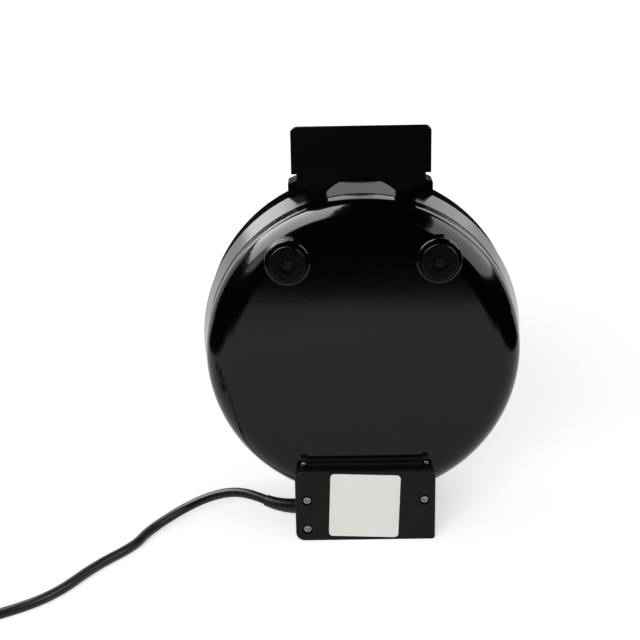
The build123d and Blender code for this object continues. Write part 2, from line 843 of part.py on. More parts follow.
with BuildPart() as terminal_box:
    with BuildSketch(front_plane(cover_back)):
        add(box_outside)
    extrude(amount=-(box_back - cover_back))
    with BuildSketch(front_plane(cover_back)):
        add(box_inside)
    extrude(amount=-(box_back - box_wall - cover_back), mode=Mode.SUBTRACT)
    # Posts that take the cover's screws, each with a rib to the side wall
    for x, z in cover_screw_spots:
        side = math.copysign(1, x)
        rib_length = box_half - box_wall / 2 - abs(x)
        with BuildSketch(front_plane(post_front)):
            with Locations((x, z)):
                Circle(post_d / 2)
            with Locations((x + side * rib_length / 2, z)):
                Rectangle(rib_length, rib_t)
        extrude(amount=-post_length)
        with BuildSketch(front_plane(post_front)):
            with Locations((x, z)):
                Circle(screw_d / 2)
        extrude(amount=-screw_length, mode=Mode.SUBTRACT)
    # Stepped ledge in front of the flat bottom, with raised ends
    with BuildSketch(front_plane(ledge_front)):
        with Locations((0, (ledge_top + box_h - box_corner_r) / 2)):
            Rectangle(ledge_w, ledge_top - box_h + box_corner_r)
        for side in (-1, 1):
            with Locations((side * (ledge_w - ear_tab_w) / 2, ledge_top)):
                Rectangle(ear_tab_w, 2 * ear_tab_h)
    extrude(amount=-(ledge_t + sheet_t))
    with BuildSketch(front_plane(step_front)):
        with Locations((0, box_h)):
            Rectangle(2 * step_half, ledge_h + ear_tab_h)
    extrude(amount=-(ledge_step + ledge_t))
    # Ears round the hinge pins
    for ear_start in (-box_half, ear_inner):
        with BuildSketch(Plane.YZ.offset(ear_start)):
            with Locations((pivot_y, pivot_up)):
                Circle(pivot_up - ear_floor_gap)
            with Locations(((box_back - box_wall + pivot_y) / 2, pivot_up)):
                Rectangle(pivot_y - box_back + box_wall, 2 * (pivot_up - ear_floor_gap))
        extrude(amount=ear_w)
        with BuildSketch(Plane.YZ.offset(ear_start)):
            with Locations((pivot_y, pivot_up)):
                Circle(hinge_pin_d / 2 + pin_fit_gap)
        extrude(amount=ear_w, mode=Mode.SUBTRACT)
    # Block behind the cord, where its clamp is screwed on
    with BuildSketch(front_plane(clamp_split + clamp_gap)):
        with Locations((clamp_x, (box_wall / 2 + clamp_high) / 2)):
            Rectangle(clamp_len, clamp_high - box_wall / 2)
    extrude(amount=-clamp_back_t)
    clamp_screw_z = (
        (clamp_low + cord_exit_z - cord_d / 2) / 2,
        (clamp_high + cord_exit_z + cord_d / 2) / 2,
    )
    with BuildSketch(front_plane(clamp_split + clamp_gap)):
        with Locations(*[(clamp_x, z) for z in clamp_screw_z]):
            Circle(screw_d / 2)
    extrude(amount=-clip_screw_bite, mode=Mode.SUBTRACT)
    with BuildSketch(Plane.YZ.offset(clamp_x - clamp_len)):
        with Locations((cord_exit_y, cord_exit_z)):
            Circle(cord_d / 2)
    extrude(amount=2 * clamp_len, mode=Mode.SUBTRACT)
    # The relief's hole, the rivets' holes and the saddle
    with BuildSketch(Plane.YZ.offset(-box_half)):
        with Locations((cord_exit_y, cord_exit_z)):
            Circle(relief_neck_d / 2)
    extrude(amount=box_wall, mode=Mode.SUBTRACT)
    with BuildSketch(front_plane(ledge_front)):
        with Locations(*rivet_spots):
            Circle(rivet_d / 2)
    extrude(amount=-(ledge_t + sheet_t), mode=Mode.SUBTRACT)
    add(round_base, mode=Mode.SUBTRACT)
finish(terminal_box.part, "terminal_box")

with BuildPart() as box_cover:
    with BuildSketch(front_plane(y_front)):
        add(box_outside)
    extrude(amount=-cover_t)
    cover_rim = box_cover.edges().group_by(Axis.Y)[0]
    fillet(cover_rim, cover_edge_r)
    with BuildSketch(front_plane(cover_back)):
        with Locations(*cover_screw_spots):
            Circle(cover_boss_r)
    extrude(amount=-cover_boss_h)
    with BuildSketch(front_plane(y_front)):
        with Locations(*cover_screw_spots):
            Circle(screw_recess_d / 2)
    extrude(amount=-screw_recess_depth, mode=Mode.SUBTRACT)
    with BuildSketch(front_plane(y_front)):
        with Locations(*cover_screw_spots):
            Circle(screw_d / 2)
    extrude(amount=-(cover_t + cover_boss_h), mode=Mode.SUBTRACT)
finish(box_cover.part, "box_cover")

cover_seat = y_front + screw_recess_depth
cover_screw = pan_head_screw(
    post_front + screw_length - screw_end_gap - cover_seat, screw_head_d, screw_head_h, screw_d
)
cover_screw_planes = [
    Plane(origin=(x, cover_seat, z), z_dir=(0, -1, 0)) for x, z in cover_screw_spots
]
with BuildPart() as cover_screws:
    add(screw_group(cover_screw, cover_screw_planes))
finish(cover_screws.part, "cover_screws")

rivet_tail_t = 0.8
with BuildPart() as ledge_rivets:
    with BuildSketch(front_plane(ledge_front)):
        with Locations(*rivet_spots):
            Circle(rivet_head_d / 2)
    extrude(amount=rivet_head_h)
    fillet(ledge_rivets.edges().group_by(Axis.Y)[0], rivet_head_h * 0.8)
    with BuildSketch(front_plane(ledge_front)):
        with Locations(*rivet_spots):
            Circle(rivet_d / 2)
    extrude(amount=-(ledge_t + sheet_t))
    with BuildSketch(front_plane(y_flat + sheet_t)):
        with Locations(*rivet_spots):
            Circle(rivet_head_d / 2)
    extrude(amount=-rivet_tail_t)
finish(ledge_rivets.part, "ledge_rivets")

# Clamp that grips the cord inside the box

with BuildPart() as cord_clamp:
    with BuildSketch(front_plane(clamp_split)):
        with Locations((clamp_x, (clamp_low + clamp_high) / 2)):
            RectangleRounded(clamp_len, clamp_high - clamp_low, clamp_corner_r)
    extrude(amount=clamp_front_t)
    with BuildSketch(Plane.YZ.offset(clamp_x - clamp_len)):
        with Locations((cord_exit_y, cord_exit_z)):
            Circle(cord_d / 2)
    extrude(amount=2 * clamp_len, mode=Mode.SUBTRACT)
    with BuildSketch(front_plane(clamp_split)):
        with Locations(*[(clamp_x, z) for z in clamp_screw_z]):
            Circle(screw_d / 2)
    extrude(amount=clamp_front_t, mode=Mode.SUBTRACT)
finish(cord_clamp.part, "cord_clamp")

clamp_screw = pan_head_screw(clamp_front_t + clip_screw_bite, screw_head_d, screw_head_h, screw_d)
clamp_screw_planes = [
    Plane(origin=(clamp_x, clamp_split - clamp_front_t, z), z_dir=(0, -1, 0))
    for z in clamp_screw_z
]
with BuildPart() as cord_clamp_screws:
    add(screw_group(clamp_screw, clamp_screw_planes))
finish(cord_clamp_screws.part, "cord_clamp_screws")

# Terminal block on the box's floor

block_screw_x = (-block_w / 3, 0, block_w / 3)
block_top = box_wall + block_h
with BuildPart() as terminal_block:
    with BuildSketch(Plane.XY.offset(box_wall)):
        with Locations((0, block_y)):
            Rectangle(block_w, block_d)
    extrude(amount=block_h)
    chamfer(terminal_block.edges().group_by(Axis.Z)[-1], block_edge)
    with BuildSketch(front_plane(block_y - block_d / 2)):
        with Locations(*[(x, box_wall + block_h / 2) for x in block_screw_x]):
            Circle(block_hole_r)
    extrude(amount=-block_hole_depth, mode=Mode.SUBTRACT)
finish(terminal_block.part, "terminal_block")

# Hinge: two stub pins through the ears into the lid's housing

with BuildPart() as hinge_pins:
    pin_inner = housing_half - knuckle_reach
    for pin_start in (-box_half + pin_inset, pin_inner):
        with BuildSketch(Plane.YZ.offset(pin_start)):
            with Locations((pivot_y, pivot_up)):
                Circle(hinge_pin_d / 2)
        extrude(amount=box_half - pin_inset - pin_inner)
    chamfer(hinge_pins.edges().filter_by(GeomType.CIRCLE), pin_chamfer)
finish(hinge_pins.part, "hinge_pins")

# Lid: a drawn shell with a gentle crown, its edge hemmed inward

round_lid = lid_envelope(0)
lid_screw_y = y_lid_rim + lid_screw_setback
handle_screw_x = saddle_w / 2 - lid_screw_inset
hinge_screw_x = housing_half - hinge_screw_inset
frame_r = lid_r - sheet_t - snug_gap
lid_screw_planes = [
    wall_plane(x, lid_screw_y, frame_r - wall_t, 1) for x in (-handle_screw_x, handle_screw_x)
]
hinge_screw_planes = [
    wall_plane(x, lid_screw_y, frame_r - wall_t, -1) for x in (-hinge_screw_x, hinge_screw_x)
]
lamp_spots = ((-lamp_x, axis_z + lamp_up), (lamp_x, axis_z + lamp_up))

with BuildPart() as lid_shell:
    add(round_lid)
    lid_mouth = lid_shell.faces().sort_by(Axis.Y)[0]
    offset(amount=-sheet_t, openings=lid_mouth)
    with BuildSketch(front_plane(y_lid_rim)):
        with Locations((0, axis_z)):
            Circle(lid_r - sheet_t / 2)
            Circle(frame_r - wall_t, mode=Mode.SUBTRACT)
    extrude(amount=-hem_t)
    with BuildSketch(*lid_screw_planes, *hinge_screw_planes):
        Circle(screw_d / 2)
    extrude(amount=-(2 * wall_t + sheet_t), mode=Mode.SUBTRACT)
    with BuildSketch(front_plane(y_lid_top - lid_crown / 2)):
        with Locations(*lamp_spots):
            Circle(lamp_d / 2)
    extrude(amount=-lid_crown, mode=Mode.SUBTRACT)
finish(lid_shell.part, "lid_shell")

# Frame inside the lid: it stands on the hem and carries the upper plate

frame_front = y_lid_rim + hem_t
upper_flange_front = upper_face + plate_rim_t
upper_flange_back = upper_face + flange_depth
with BuildPart() as lid_frame:
    with BuildSketch(round_plane):
        Polygon(
            (frame_r - wall_t, frame_front),
            (frame_r, frame_front),
            (frame_r, frame_front + frame_depth),
            (frame_r - wall_t, frame_front + frame_depth),
            (frame_r - wall_t, upper_flange_back),
            (flange_r, upper_flange_back),
            (flange_r, upper_flange_front),
            (frame_r - wall_t, upper_flange_front),
            align=None,
        )
    revolve(axis=round_axis)
    with BuildSketch(front_plane(upper_face)):
        with Locations((0, axis_z)):
            with PolarLocations(plate_screw_r, 3, plate_screw_angles[0]):
                Circle(screw_d / 2)
    extrude(amount=-(flange_depth + flange_t), mode=Mode.SUBTRACT)
    with BuildSketch(*lid_screw_planes, *hinge_screw_planes):
        Circle(screw_d / 2)
    extrude(amount=-(wall_t + sheet_t), mode=Mode.SUBTRACT)
finish(lid_frame.part, "lid_frame")

# Hinge housing under the lid: barrel, flat foot and saddle, hollow between its screw blocks

lid_saddle = lid_envelope(snug_gap)
housing_back = pivot_y - pivot_up + housing_depth
with BuildPart() as lid_hinge_housing:
    with BuildSketch(Plane.YZ.offset(-housing_half)):
        with Locations((pivot_y, pivot_up)):
            Circle(pivot_up)
        Polygon(
            (pivot_y - pivot_up, pivot_up),
            (pivot_y, 0),
            (housing_back, 0),
            (housing_back, housing_h),
            (pivot_y - pivot_up, housing_h),
            align=None,
        )
    extrude(amount=2 * housing_half)
    long_back_edges = (
        lid_hinge_housing.edges().filter_by(Axis.X).group_by(Axis.Y)[-1].group_by(Axis.Z)[0]
    )
    fillet(long_back_edges, housing_edge_r)
    with BuildSketch(Plane.XY.offset(housing_h)):
        with Locations((0, (pivot_y - pivot_up + housing_back) / 2)):
            Rectangle(
                2 * (hinge_screw_x - screw_head_d), housing_depth - 2 * housing_wall
            )
    extrude(amount=-(housing_h - housing_wall), mode=Mode.SUBTRACT)
    for pin_end in (-housing_half, housing_half - knuckle_reach - pin_end_gap):
        with BuildSketch(Plane.YZ.offset(pin_end)):
            with Locations((pivot_y, pivot_up)):
                Circle(hinge_pin_d / 2 + pin_run_gap)
        extrude(amount=knuckle_reach + pin_end_gap, mode=Mode.SUBTRACT)
    add(lid_saddle, mode=Mode.SUBTRACT)
    with BuildSketch(*hinge_screw_planes):
        Circle(screw_d / 2)
    extrude(amount=-(wall_t + sheet_t + screw_length), mode=Mode.SUBTRACT)
finish(lid_hinge_housing.part, "lid_hinge_housing")

wall_screw = pan_head_screw(screw_length, screw_head_d, screw_head_h, screw_d)
with BuildPart() as lid_hinge_screws:
    add(screw_group(wall_screw, hinge_screw_planes))
finish(lid_hinge_screws.part, "lid_hinge_screws")

with BuildPart() as lid_handle_screws:
    add(screw_group(wall_screw, lid_screw_planes))
finish(lid_handle_screws.part, "lid_handle_screws")

with BuildPart() as base_handle_screws:
    add(screw_group(wall_screw, base_screw_planes))
finish(base_handle_screws.part, "base_handle_screws")

# Handles: one on each half, meeting at the parting line, their common end leaning back

handle_front = y_seam + handle_front_gap
lid_handle_back = y_lid_rim + lid_grip_depth
saddle_low = axis_z + rim_r - saddle_depth
grip_rise = math.tan(math.radians(grip_slope))


def grip_section(y, low):
    """Section of the grip at a depth y, above low: its top falls to the back."""
    top = axis_z + grip_top - (y - handle_front) * grip_rise
    with BuildSketch() as section:
        with Locations((0, (top + axis_z + low) / 2)):
            Rectangle(grip_w, top - axis_z - low)
        fillet(section.vertices().group_by(Axis.Y)[-1], grip_corner_r)
    return section.sketch


base_grip_front = grip_section(handle_front, grip_bottom)
base_grip_back = grip_section(y_base_rim, grip_bottom)
leg_low = leg_top - leg_depth
with BuildPart() as base_handle:
    with BuildSketch(front_plane(handle_front)):
        add(base_grip_front)
    with BuildSketch(front_plane(y_base_rim)):
        add(base_grip_back)
    loft()
    grip_edges = (
        base_handle.edges()
        .group_by(Axis.Y)[0]
        .filter_by(lambda edge: edge.center().Z > axis_z + grip_bottom + 0.1)
    )
    fillet(grip_edges, handle_edge_r)
    # Neck, then the legs that taper to tips on each side of the arch
    with BuildSketch(front_plane(handle_front)):
        with Locations((0, axis_z + (grip_bottom + leg_top) / 2)):
            Rectangle(neck_w, grip_bottom - leg_top)
        Polygon(
            (-leg_top_half, axis_z + leg_top),
            (leg_top_half, axis_z + leg_top),
            (leg_top_half - leg_depth * leg_slope, axis_z + leg_low),
            (-leg_top_half + leg_depth * leg_slope, axis_z + leg_low),
            align=None,
        )
    extrude(amount=-(y_base_rim - handle_front))
    with BuildSketch(front_plane(handle_front)):
        with Locations((0, axis_z + arch_top - arch_r)):
            Circle(arch_r)
    extrude(amount=-(y_base_rim - handle_front), mode=Mode.SUBTRACT)
    add(round_base, mode=Mode.SUBTRACT)
    with BuildSketch(*base_screw_planes):
        Circle(screw_d / 2)
    extrude(amount=-screw_length - hole_spare, mode=Mode.SUBTRACT)
finish(base_handle.part, "base_handle")

lid_grip_front = grip_section(y_lid_rim, lid_grip_bottom)
lid_grip_end = grip_section(lid_handle_back, lid_grip_bottom)
with BuildPart() as lid_handle:
    with BuildSketch(front_plane(y_lid_rim)):
        add(lid_grip_front)
    with BuildSketch(front_plane(lid_handle_back)):
        add(lid_grip_end)
    loft()
    back_edges = (
        lid_handle.edges()
        .group_by(Axis.Y)[-1]
        .filter_by(lambda edge: edge.center().Z > axis_z + lid_grip_bottom + 0.1)
    )
    fillet(back_edges, handle_edge_r)
    with BuildSketch(front_plane(y_lid_rim)):
        with Locations((0, axis_z + (lid_grip_bottom + rim_r) / 2)):
            Rectangle(neck_w, lid_grip_bottom - rim_r)
    extrude(amount=-lid_grip_depth)
    # Saddle on the lid's skirt, wider than the grip, its top round about the body's axis
    with BuildSketch(front_plane(y_lid_rim)):
        with Locations((0, axis_z)):
            Circle(saddle_r)
        with Locations((0, (axis_z + saddle_r + saddle_low) / 2)):
            Rectangle(saddle_w, axis_z + saddle_r - saddle_low, mode=Mode.INTERSECT)
    extrude(amount=-lid_grip_depth)
    add(lid_saddle, mode=Mode.SUBTRACT)
    with BuildSketch(*lid_screw_planes):
        Circle(screw_d / 2)
    extrude(amount=-screw_length - hole_spare, mode=Mode.SUBTRACT)
finish(lid_handle.part, "lid_handle")

# Two indicator lamps in the lid

lamp_seat = crown_y(math.hypot(lamp_x, lamp_up)) - sheet_t
with BuildPart() as power_lamp_lens:
    with BuildSketch(front_plane(lamp_seat)):
        with Locations(lamp_spots[0]):
            Circle(lamp_d / 2)
    extrude(amount=-(sheet_t + lamp_proud))
    fillet(power_lamp_lens.edges().group_by(Axis.Y)[-1], lamp_proud)
finish(power_lamp_lens.part, "power_lamp_lens")

with BuildPart() as ready_lamp_lens:
    with BuildSketch(front_plane(lamp_seat)):
        with Locations(lamp_spots[1]):
            Circle(lamp_d / 2)
    extrude(amount=-(sheet_t + lamp_proud))
    fillet(ready_lamp_lens.edges().group_by(Axis.Y)[-1], lamp_proud)
finish(ready_lamp_lens.part, "ready_lamp_lens")

lamp_holder_front = lamp_seat - snug_gap - lamp_holder_length
with BuildPart() as lamp_holders:
    with BuildSketch(front_plane(lamp_seat - snug_gap)):
        with Locations(*lamp_spots):
            Circle(lamp_holder_d / 2)
    extrude(amount=lamp_holder_length)
finish(lamp_holders.part, "lamp_holders")

# Wiring of the base: push-on sleeves on the heater's pins, and wires to the terminal block

pin_x = leg_end_point.X
pin_up = axis_z + leg_end_point.Y
lower_pin_root = lower_face + leg_end_point.Z
lower_sleeve_end = lower_pin_root - pin_length - sleeve_grip
wire_front = lower_sleeve_end - wire_bend * 1.5
wire_rise_y = block_y + block_d / 2 - wire_d * 1.5
tab_tip_y = thermostat_front - tab_length / 2
tab_low = axis_z - tab_up - tab_t / 2
tab_high = axis_z + tab_up + tab_t / 2
lead_end_x = -block_w / 2 - wire_bend / 2
core_bend = 1.5

base_wires = [
    wire(
        [
            (pin_x, lower_sleeve_end, pin_up),
            (pin_x, wire_front, pin_up),
            (block_screw_x[0], wire_front, window_high + wire_bow),
            (block_screw_x[0], wire_rise_y, window_high + wire_slack),
            (block_screw_x[0], wire_rise_y, block_top),
        ],
        wire_bend,
        wire_d,
    ),
    wire(
        [
            (-pin_x, lower_sleeve_end, pin_up),
            (-pin_x, wire_front, pin_up),
            (0, wire_front, pin_up + crossing_rise),
            (0, wire_front, tab_low),
        ],
        wire_bend,
        wire_d,
    ),
    wire(
        [
            (0, wire_front, tab_high),
            (0, wire_front, tab_high + lane_hop),
            (lane_x, wire_front, tab_high + lane_hop),
            (lane_x, wire_front, window_high + lane_end),
            (block_screw_x[2], wire_rise_y, window_high + wire_slack),
            (block_screw_x[2], wire_rise_y, block_top),
        ],
        wire_bend,
        wire_d,
    ),
    wire(
        [
            (0, wire_rise_y, block_top),
            (0, wire_rise_y, window_high + wire_bow),
            (0, y_flat + sheet_t, window_high + wire_bow),
        ],
        wire_bend,
        wire_d,
    ),
]
core_wires = [
    wire(
        [
            (lead_end_x, cord_exit_y + k * core_pitch, cord_exit_z),
            (block_screw_x[k + 1], cord_exit_y + k * core_pitch, cord_exit_z),
            (block_screw_x[k + 1], cord_exit_y + k * core_pitch, block_top),
        ],
        core_bend,
        core_d,
    )
    for k in (-1, 0, 1)
]

with BuildPart() as base_wiring:
    for piece in base_wires + core_wires:
        add(piece)
    with BuildSketch(front_plane(lower_sleeve_end)):
        with Locations((-pin_x, pin_up), (pin_x, pin_up)):
            Circle(sleeve_d / 2)
    extrude(amount=-(pin_length + sleeve_grip - sleeve_gap))
    with BuildSketch(front_plane(lower_pin_root - pin_length)):
        with Locations((-pin_x, pin_up), (pin_x, pin_up)):
            Circle(pin_d / 2)
    extrude(amount=-pin_length, mode=Mode.SUBTRACT)
finish(base_wiring.part, "base_wiring")

# Wiring of the lid: from the heater's pins to the two lamps

upper_pin_root = upper_face - leg_end_point.Z
upper_sleeve_end = upper_pin_root + pin_length + sleeve_grip
lamp_wire_y = lamp_holder_front + lamp_holder_length / 2
lamp_wires = [
    wire(
        [
            (side * pin_x, upper_sleeve_end, pin_up),
            (side * pin_x, lamp_wire_y, pin_up),
            (side * pin_x, lamp_wire_y, axis_z + lamp_up - lamp_holder_d / 2),
        ],
        core_bend * 2,
        wire_d,
    )
    for side in (-1, 1)
]
with BuildPart() as lid_wiring:
    for piece in lamp_wires:
        add(piece)
    with BuildSketch(front_plane(upper_pin_root + sleeve_gap)):
        with Locations((-pin_x, pin_up), (pin_x, pin_up)):
            Circle(sleeve_d / 2)
    extrude(amount=-(pin_length + sleeve_grip - sleeve_gap))
    with BuildSketch(front_plane(upper_pin_root)):
        with Locations((-pin_x, pin_up), (pin_x, pin_up)):
            Circle(pin_d / 2)
    extrude(amount=-pin_length, mode=Mode.SUBTRACT)
finish(lid_wiring.part, "lid_wiring")

# Strain relief: a flange inside the box, a neck in its wall and a taper bent with the cord

relief_arc_r = relief_length / math.radians(relief_turn)
bend_back = math.cos(math.radians(relief_rise))
bend_up = math.sin(math.radians(relief_rise))


def relief_point(share):
    """Point on the relief's middle line, from 0 at the box to 1 at its tip."""
    turn = math.radians(relief_turn) * share
    side = relief_arc_r * (1 - math.cos(turn))
    return Vector(
        -box_half - relief_arc_r * math.sin(turn),
        cord_exit_y + side * bend_back,
        cord_exit_z + side * bend_up,
    )


def relief_heading(share):
    """Direction of that line at the same share."""
    turn = math.radians(relief_turn) * share
    return Vector(-math.cos(turn), math.sin(turn) * bend_back, math.sin(turn) * bend_up)


relief_sections = 4
with BuildPart() as strain_relief:
    for k in range(relief_sections + 1):
        share = k / relief_sections
        with BuildSketch(
            Plane(
                origin=relief_point(share),
                x_dir=(0, bend_up, -bend_back),
                z_dir=relief_heading(share),
            )
        ):
            Circle((relief_root_d + (relief_tip_d - relief_root_d) * share) / 2)
    loft()
    with BuildSketch(Plane.YZ.offset(-box_half)):
        with Locations((cord_exit_y, cord_exit_z)):
            Circle(relief_neck_d / 2)
    extrude(amount=box_wall)
    with BuildSketch(Plane.YZ.offset(-box_half + box_wall)):
        with Locations((cord_exit_y, cord_exit_z)):
            Circle(relief_flange_d / 2)
    extrude(amount=relief_flange_t)
finish(strain_relief.part, "strain_relief")

with BuildPart() as cord_lead_in:
    with BuildSketch(Plane.YZ.offset(-box_half + box_wall + relief_flange_t)):
        with Locations((cord_exit_y, cord_exit_z)):
            Circle(cord_d / 2)
    extrude(amount=lead_end_x + box_half - box_wall - relief_flange_t)
finish(cord_lead_in.part, "cord_lead_in")

# Mains cord: its free stretch lies from the relief to the coil, over the floor at the left

floor_z = cord_d / 2
relief_tip = relief_point(1)
cord_points = [
    relief_tip,
    relief_tip + relief_heading(1) * lead_out,
    Vector(-101.9, -13.4, 20.3),
    Vector(-120.7, -13.0, 15.5),
    Vector(-140.8, -21.3, 8.8),
    Vector(-162.8, -45.3, floor_z),
    Vector(-169.3, -68.2, floor_z),
    Vector(-193.6, -97.5, floor_z),
    Vector(-214.0, -137.0, floor_z),
    Vector(-243.0, -160.0, floor_z),
    Vector(-280.0, coil_start_y, floor_z),
    Vector(coil_start_x, coil_start_y, floor_z),
]


def bend_radii(points):
    """Radius of each bend: it takes 0.45 of the shorter run on each side of its corner."""
    radii = []
    for before, corner, after in zip(points, points[1:], points[2:]):
        run_in = corner - before
        run_out = after - corner
        half_turn = math.radians(run_in.get_angle(run_out)) / 2
        radii.append(0.45 * min(run_in.length, run_out.length) / math.tan(half_turn))
    return radii


def cord_tube(points):
    """Cord along straight runs that are joined by wide bends."""
    with BuildPart() as tube:
        with BuildLine() as route:
            FilletPolyline(*points, radius=bend_radii(points))
        with BuildSketch(Plane(origin=route.line @ 0, z_dir=route.line % 0)):
            Circle(cord_d / 2)
        sweep(path=route.line)
    least_radius = min(bend_radii(points))
    print("cord run of", round(route.wire().length, 1), "least radius", round(least_radius, 1))
    return tube.part


free_tube = cord_tube(cord_points)
with BuildPart() as mains_cord:
    add(free_tube)
finish(mains_cord.part, "mains_cord")

# Coil: half turns that wind inward on the floor, climb one layer in the half turn where the
# spiral reverses, and wind outward on top; it turns clockwise as seen from above

lower_radii = [coil_wide_r - coil_pitch / 2 * k for k in range(3)]
climb_r = coil_wide_r - coil_pitch / 2 * 3
upper_radii = [climb_r + coil_pitch / 2 * k for k in (1, 2)]
coil_high = floor_z + coil_rise


def coil_arcs():
    """Draw the coil's half turns and return the point where it ends."""
    x = coil_start_x
    y = coil_start_y
    height = floor_z
    heading = 1
    for r in lower_radii:
        CenterArc((x, y + heading * r, height), r, -heading * 90, -180)
        y += heading * 2 * r
        heading = -heading
    start = Vector(x, y, height)
    end = Vector(x, y + heading * 2 * climb_r, coil_high)
    chord = end - start
    way_in = Vector(-heading, 0, 0)
    middle = (start + end) / 2 + way_in * chord.length / 2
    TangentArc(start, middle, tangent=way_in)
    TangentArc(middle, end, tangent=chord)
    y = end.Y
    heading = -heading
    for r in upper_radii:
        CenterArc((x, y + heading * r, coil_high), r, -heading * 90, -180)
        y += heading * 2 * r
        heading = -heading
    return Vector(x, y, coil_high)


with BuildPart() as cord_coil:
    with BuildLine() as coil_path:
        coil_end = coil_arcs()
    with BuildSketch(Plane(origin=coil_path.line @ 0, z_dir=coil_path.line % 0)):
        Circle(cord_d / 2)
    sweep(path=coil_path.line)
finish(cord_coil.part, "cord_coil")


def least_self_gap(line, count):
    """Least clear gap between parts of a line that lie over three diameters apart on it."""
    points = [line @ (k / count) for k in range(count + 1)]
    apart = math.ceil(3 * cord_d * count / line.length)
    return (
        min(
            (points[i] - points[k]).length
            for i in range(count + 1)
            for k in range(i + apart, count + 1)
        )
        - cord_d
    )


coil_wire = coil_path.wire()
print("coil of", round(coil_wire.length, 1), "least gap", round(least_self_gap(coil_wire, 360), 2))

# Tail from the coil to the plug, which lies beside the coil

plug_z = plug_r
tail_points = [
    coil_end,
    Vector(-340.0, coil_end.Y, coil_high),
    Vector(-364.0, -163.0, 13.0),
    Vector(-382.0, -148.0, 16.0),
    Vector(plug_x, -126.0, plug_z),
    Vector(plug_x, plug_rear_y, plug_z),
]
tail_tube = cord_tube(tail_points)
with BuildPart() as cord_tail:
    add(tail_tube)
finish(cord_tail.part, "cord_tail")

plug_front_y = plug_rear_y + plug_length
plug_neck_length = plug_length * plug_neck_share
plug_neck_end_r = plug_neck_r + plug_neck_flare
with BuildPart() as plug_body:
    with BuildSketch(Plane.XY.offset(plug_z)):
        with BuildLine():
            Polyline(
                (plug_x, plug_rear_y),
                (plug_x + plug_neck_r, plug_rear_y),
                (plug_x + plug_neck_end_r, plug_rear_y + plug_neck_length),
            )
            shoulder = RadiusArc(
                (plug_x + plug_neck_end_r, plug_rear_y + plug_neck_length),
                (plug_x + plug_r, plug_front_y - plug_face_length),
                -plug_neck_length,
            )
            Polyline(
                shoulder @ 1,
                (plug_x + plug_r, plug_front_y),
                (plug_x, plug_front_y),
                (plug_x, plug_rear_y),
            )
        make_face()
    revolve(axis=Axis((plug_x, 0, plug_z), (0, 1, 0)))
    face_rim = plug_body.edges().filter_by(GeomType.CIRCLE).group_by(Axis.Y)[-1]
    fillet(face_rim, plug_rim_round)
finish(plug_body.part, "plug_body")

with BuildPart() as plug_pins:
    with BuildSketch(front_plane(plug_front_y)):
        with Locations((plug_x - plug_pin_pitch / 2, plug_z), (plug_x + plug_pin_pitch / 2, plug_z)):
            Circle(plug_pin_d / 2)
    extrude(amount=-plug_pin_length)
    fillet(plug_pins.edges().group_by(Axis.Y)[-1], plug_pin_d / 2 - pin_tip_flat)
finish(plug_pins.part, "plug_pins")
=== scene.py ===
# %% [markdown]
# # A round electric muffin maker, stood upright
# The appliance leans on nothing: it stands on its hinge end, with its underside towards us and
# its grip at the top. Its mains lead leaves the terminal box and runs off to the left.
# The rigid pieces come in with their true shapes. What this notebook adds is the camera, the
# soft lead, the studio, a finish for every surface, and the blank sticker.

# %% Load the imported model
import json
import math

import bpy
from mathutils import Matrix, Vector


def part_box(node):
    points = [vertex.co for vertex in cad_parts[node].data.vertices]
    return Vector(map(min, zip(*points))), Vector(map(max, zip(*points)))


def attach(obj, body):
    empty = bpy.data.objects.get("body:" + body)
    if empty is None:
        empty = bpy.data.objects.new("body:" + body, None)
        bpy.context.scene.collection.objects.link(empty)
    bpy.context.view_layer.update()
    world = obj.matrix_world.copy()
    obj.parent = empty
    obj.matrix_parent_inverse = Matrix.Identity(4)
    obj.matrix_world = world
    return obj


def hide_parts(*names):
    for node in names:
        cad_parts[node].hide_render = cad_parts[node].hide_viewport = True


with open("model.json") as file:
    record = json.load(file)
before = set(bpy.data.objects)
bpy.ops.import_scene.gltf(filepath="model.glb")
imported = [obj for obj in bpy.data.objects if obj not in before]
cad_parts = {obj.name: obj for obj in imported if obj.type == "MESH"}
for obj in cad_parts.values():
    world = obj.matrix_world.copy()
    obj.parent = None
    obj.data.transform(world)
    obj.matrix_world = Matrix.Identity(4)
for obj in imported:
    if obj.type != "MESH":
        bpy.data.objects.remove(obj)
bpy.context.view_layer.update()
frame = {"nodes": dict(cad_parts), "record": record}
nodes = frame["nodes"]

# %% [markdown]
# ## Two small helpers
# Sizes on the drawing are in millimetres, while Blender works in metres, so one function turns
# the first into the second. Colours are picked as the hex values that a paint program shows,
# which are bent for the eye (sRGB), so another function makes them linear for the shaders.

# %% Millimetres and colours
MM = 0.001


def metres(*values):
    """A point that is given in millimetres."""
    return Vector(values) * MM


def linear(hex_colour):
    """The linear colour with full alpha of a hex value such as "#1c1c1d"."""
    channels = [int(hex_colour[i:i + 2], 16) / 255 for i in (1, 3, 5)]
    return [c / 12.92 if c <= 0.04045 else ((c + 0.055) / 1.055) ** 2.4 for c in channels] + [1]


print("mid grey:", [round(c, 3) for c in linear("#808080")])

# %% [markdown]
# ## The camera
# The photograph was taken from just under a metre away with a long lens, looking down by about
# 18 degrees and turned by hardly a degree. A camera is placed by its three axes: right, up and
# back. They could come from Euler angles, but building them from yaw, pitch and roll keeps
# every number one that can be measured in the picture.

# %% Place the camera
IMAGE_WIDTH = 640
FOCAL_PIXELS = 1287.29
SENSOR_WIDTH = 36
CAMERA_PLACE = (-23.286, -913.337, 448.556)
YAW = -0.00875
PITCH_DOWN = 0.31277
ROLL = 0.01839

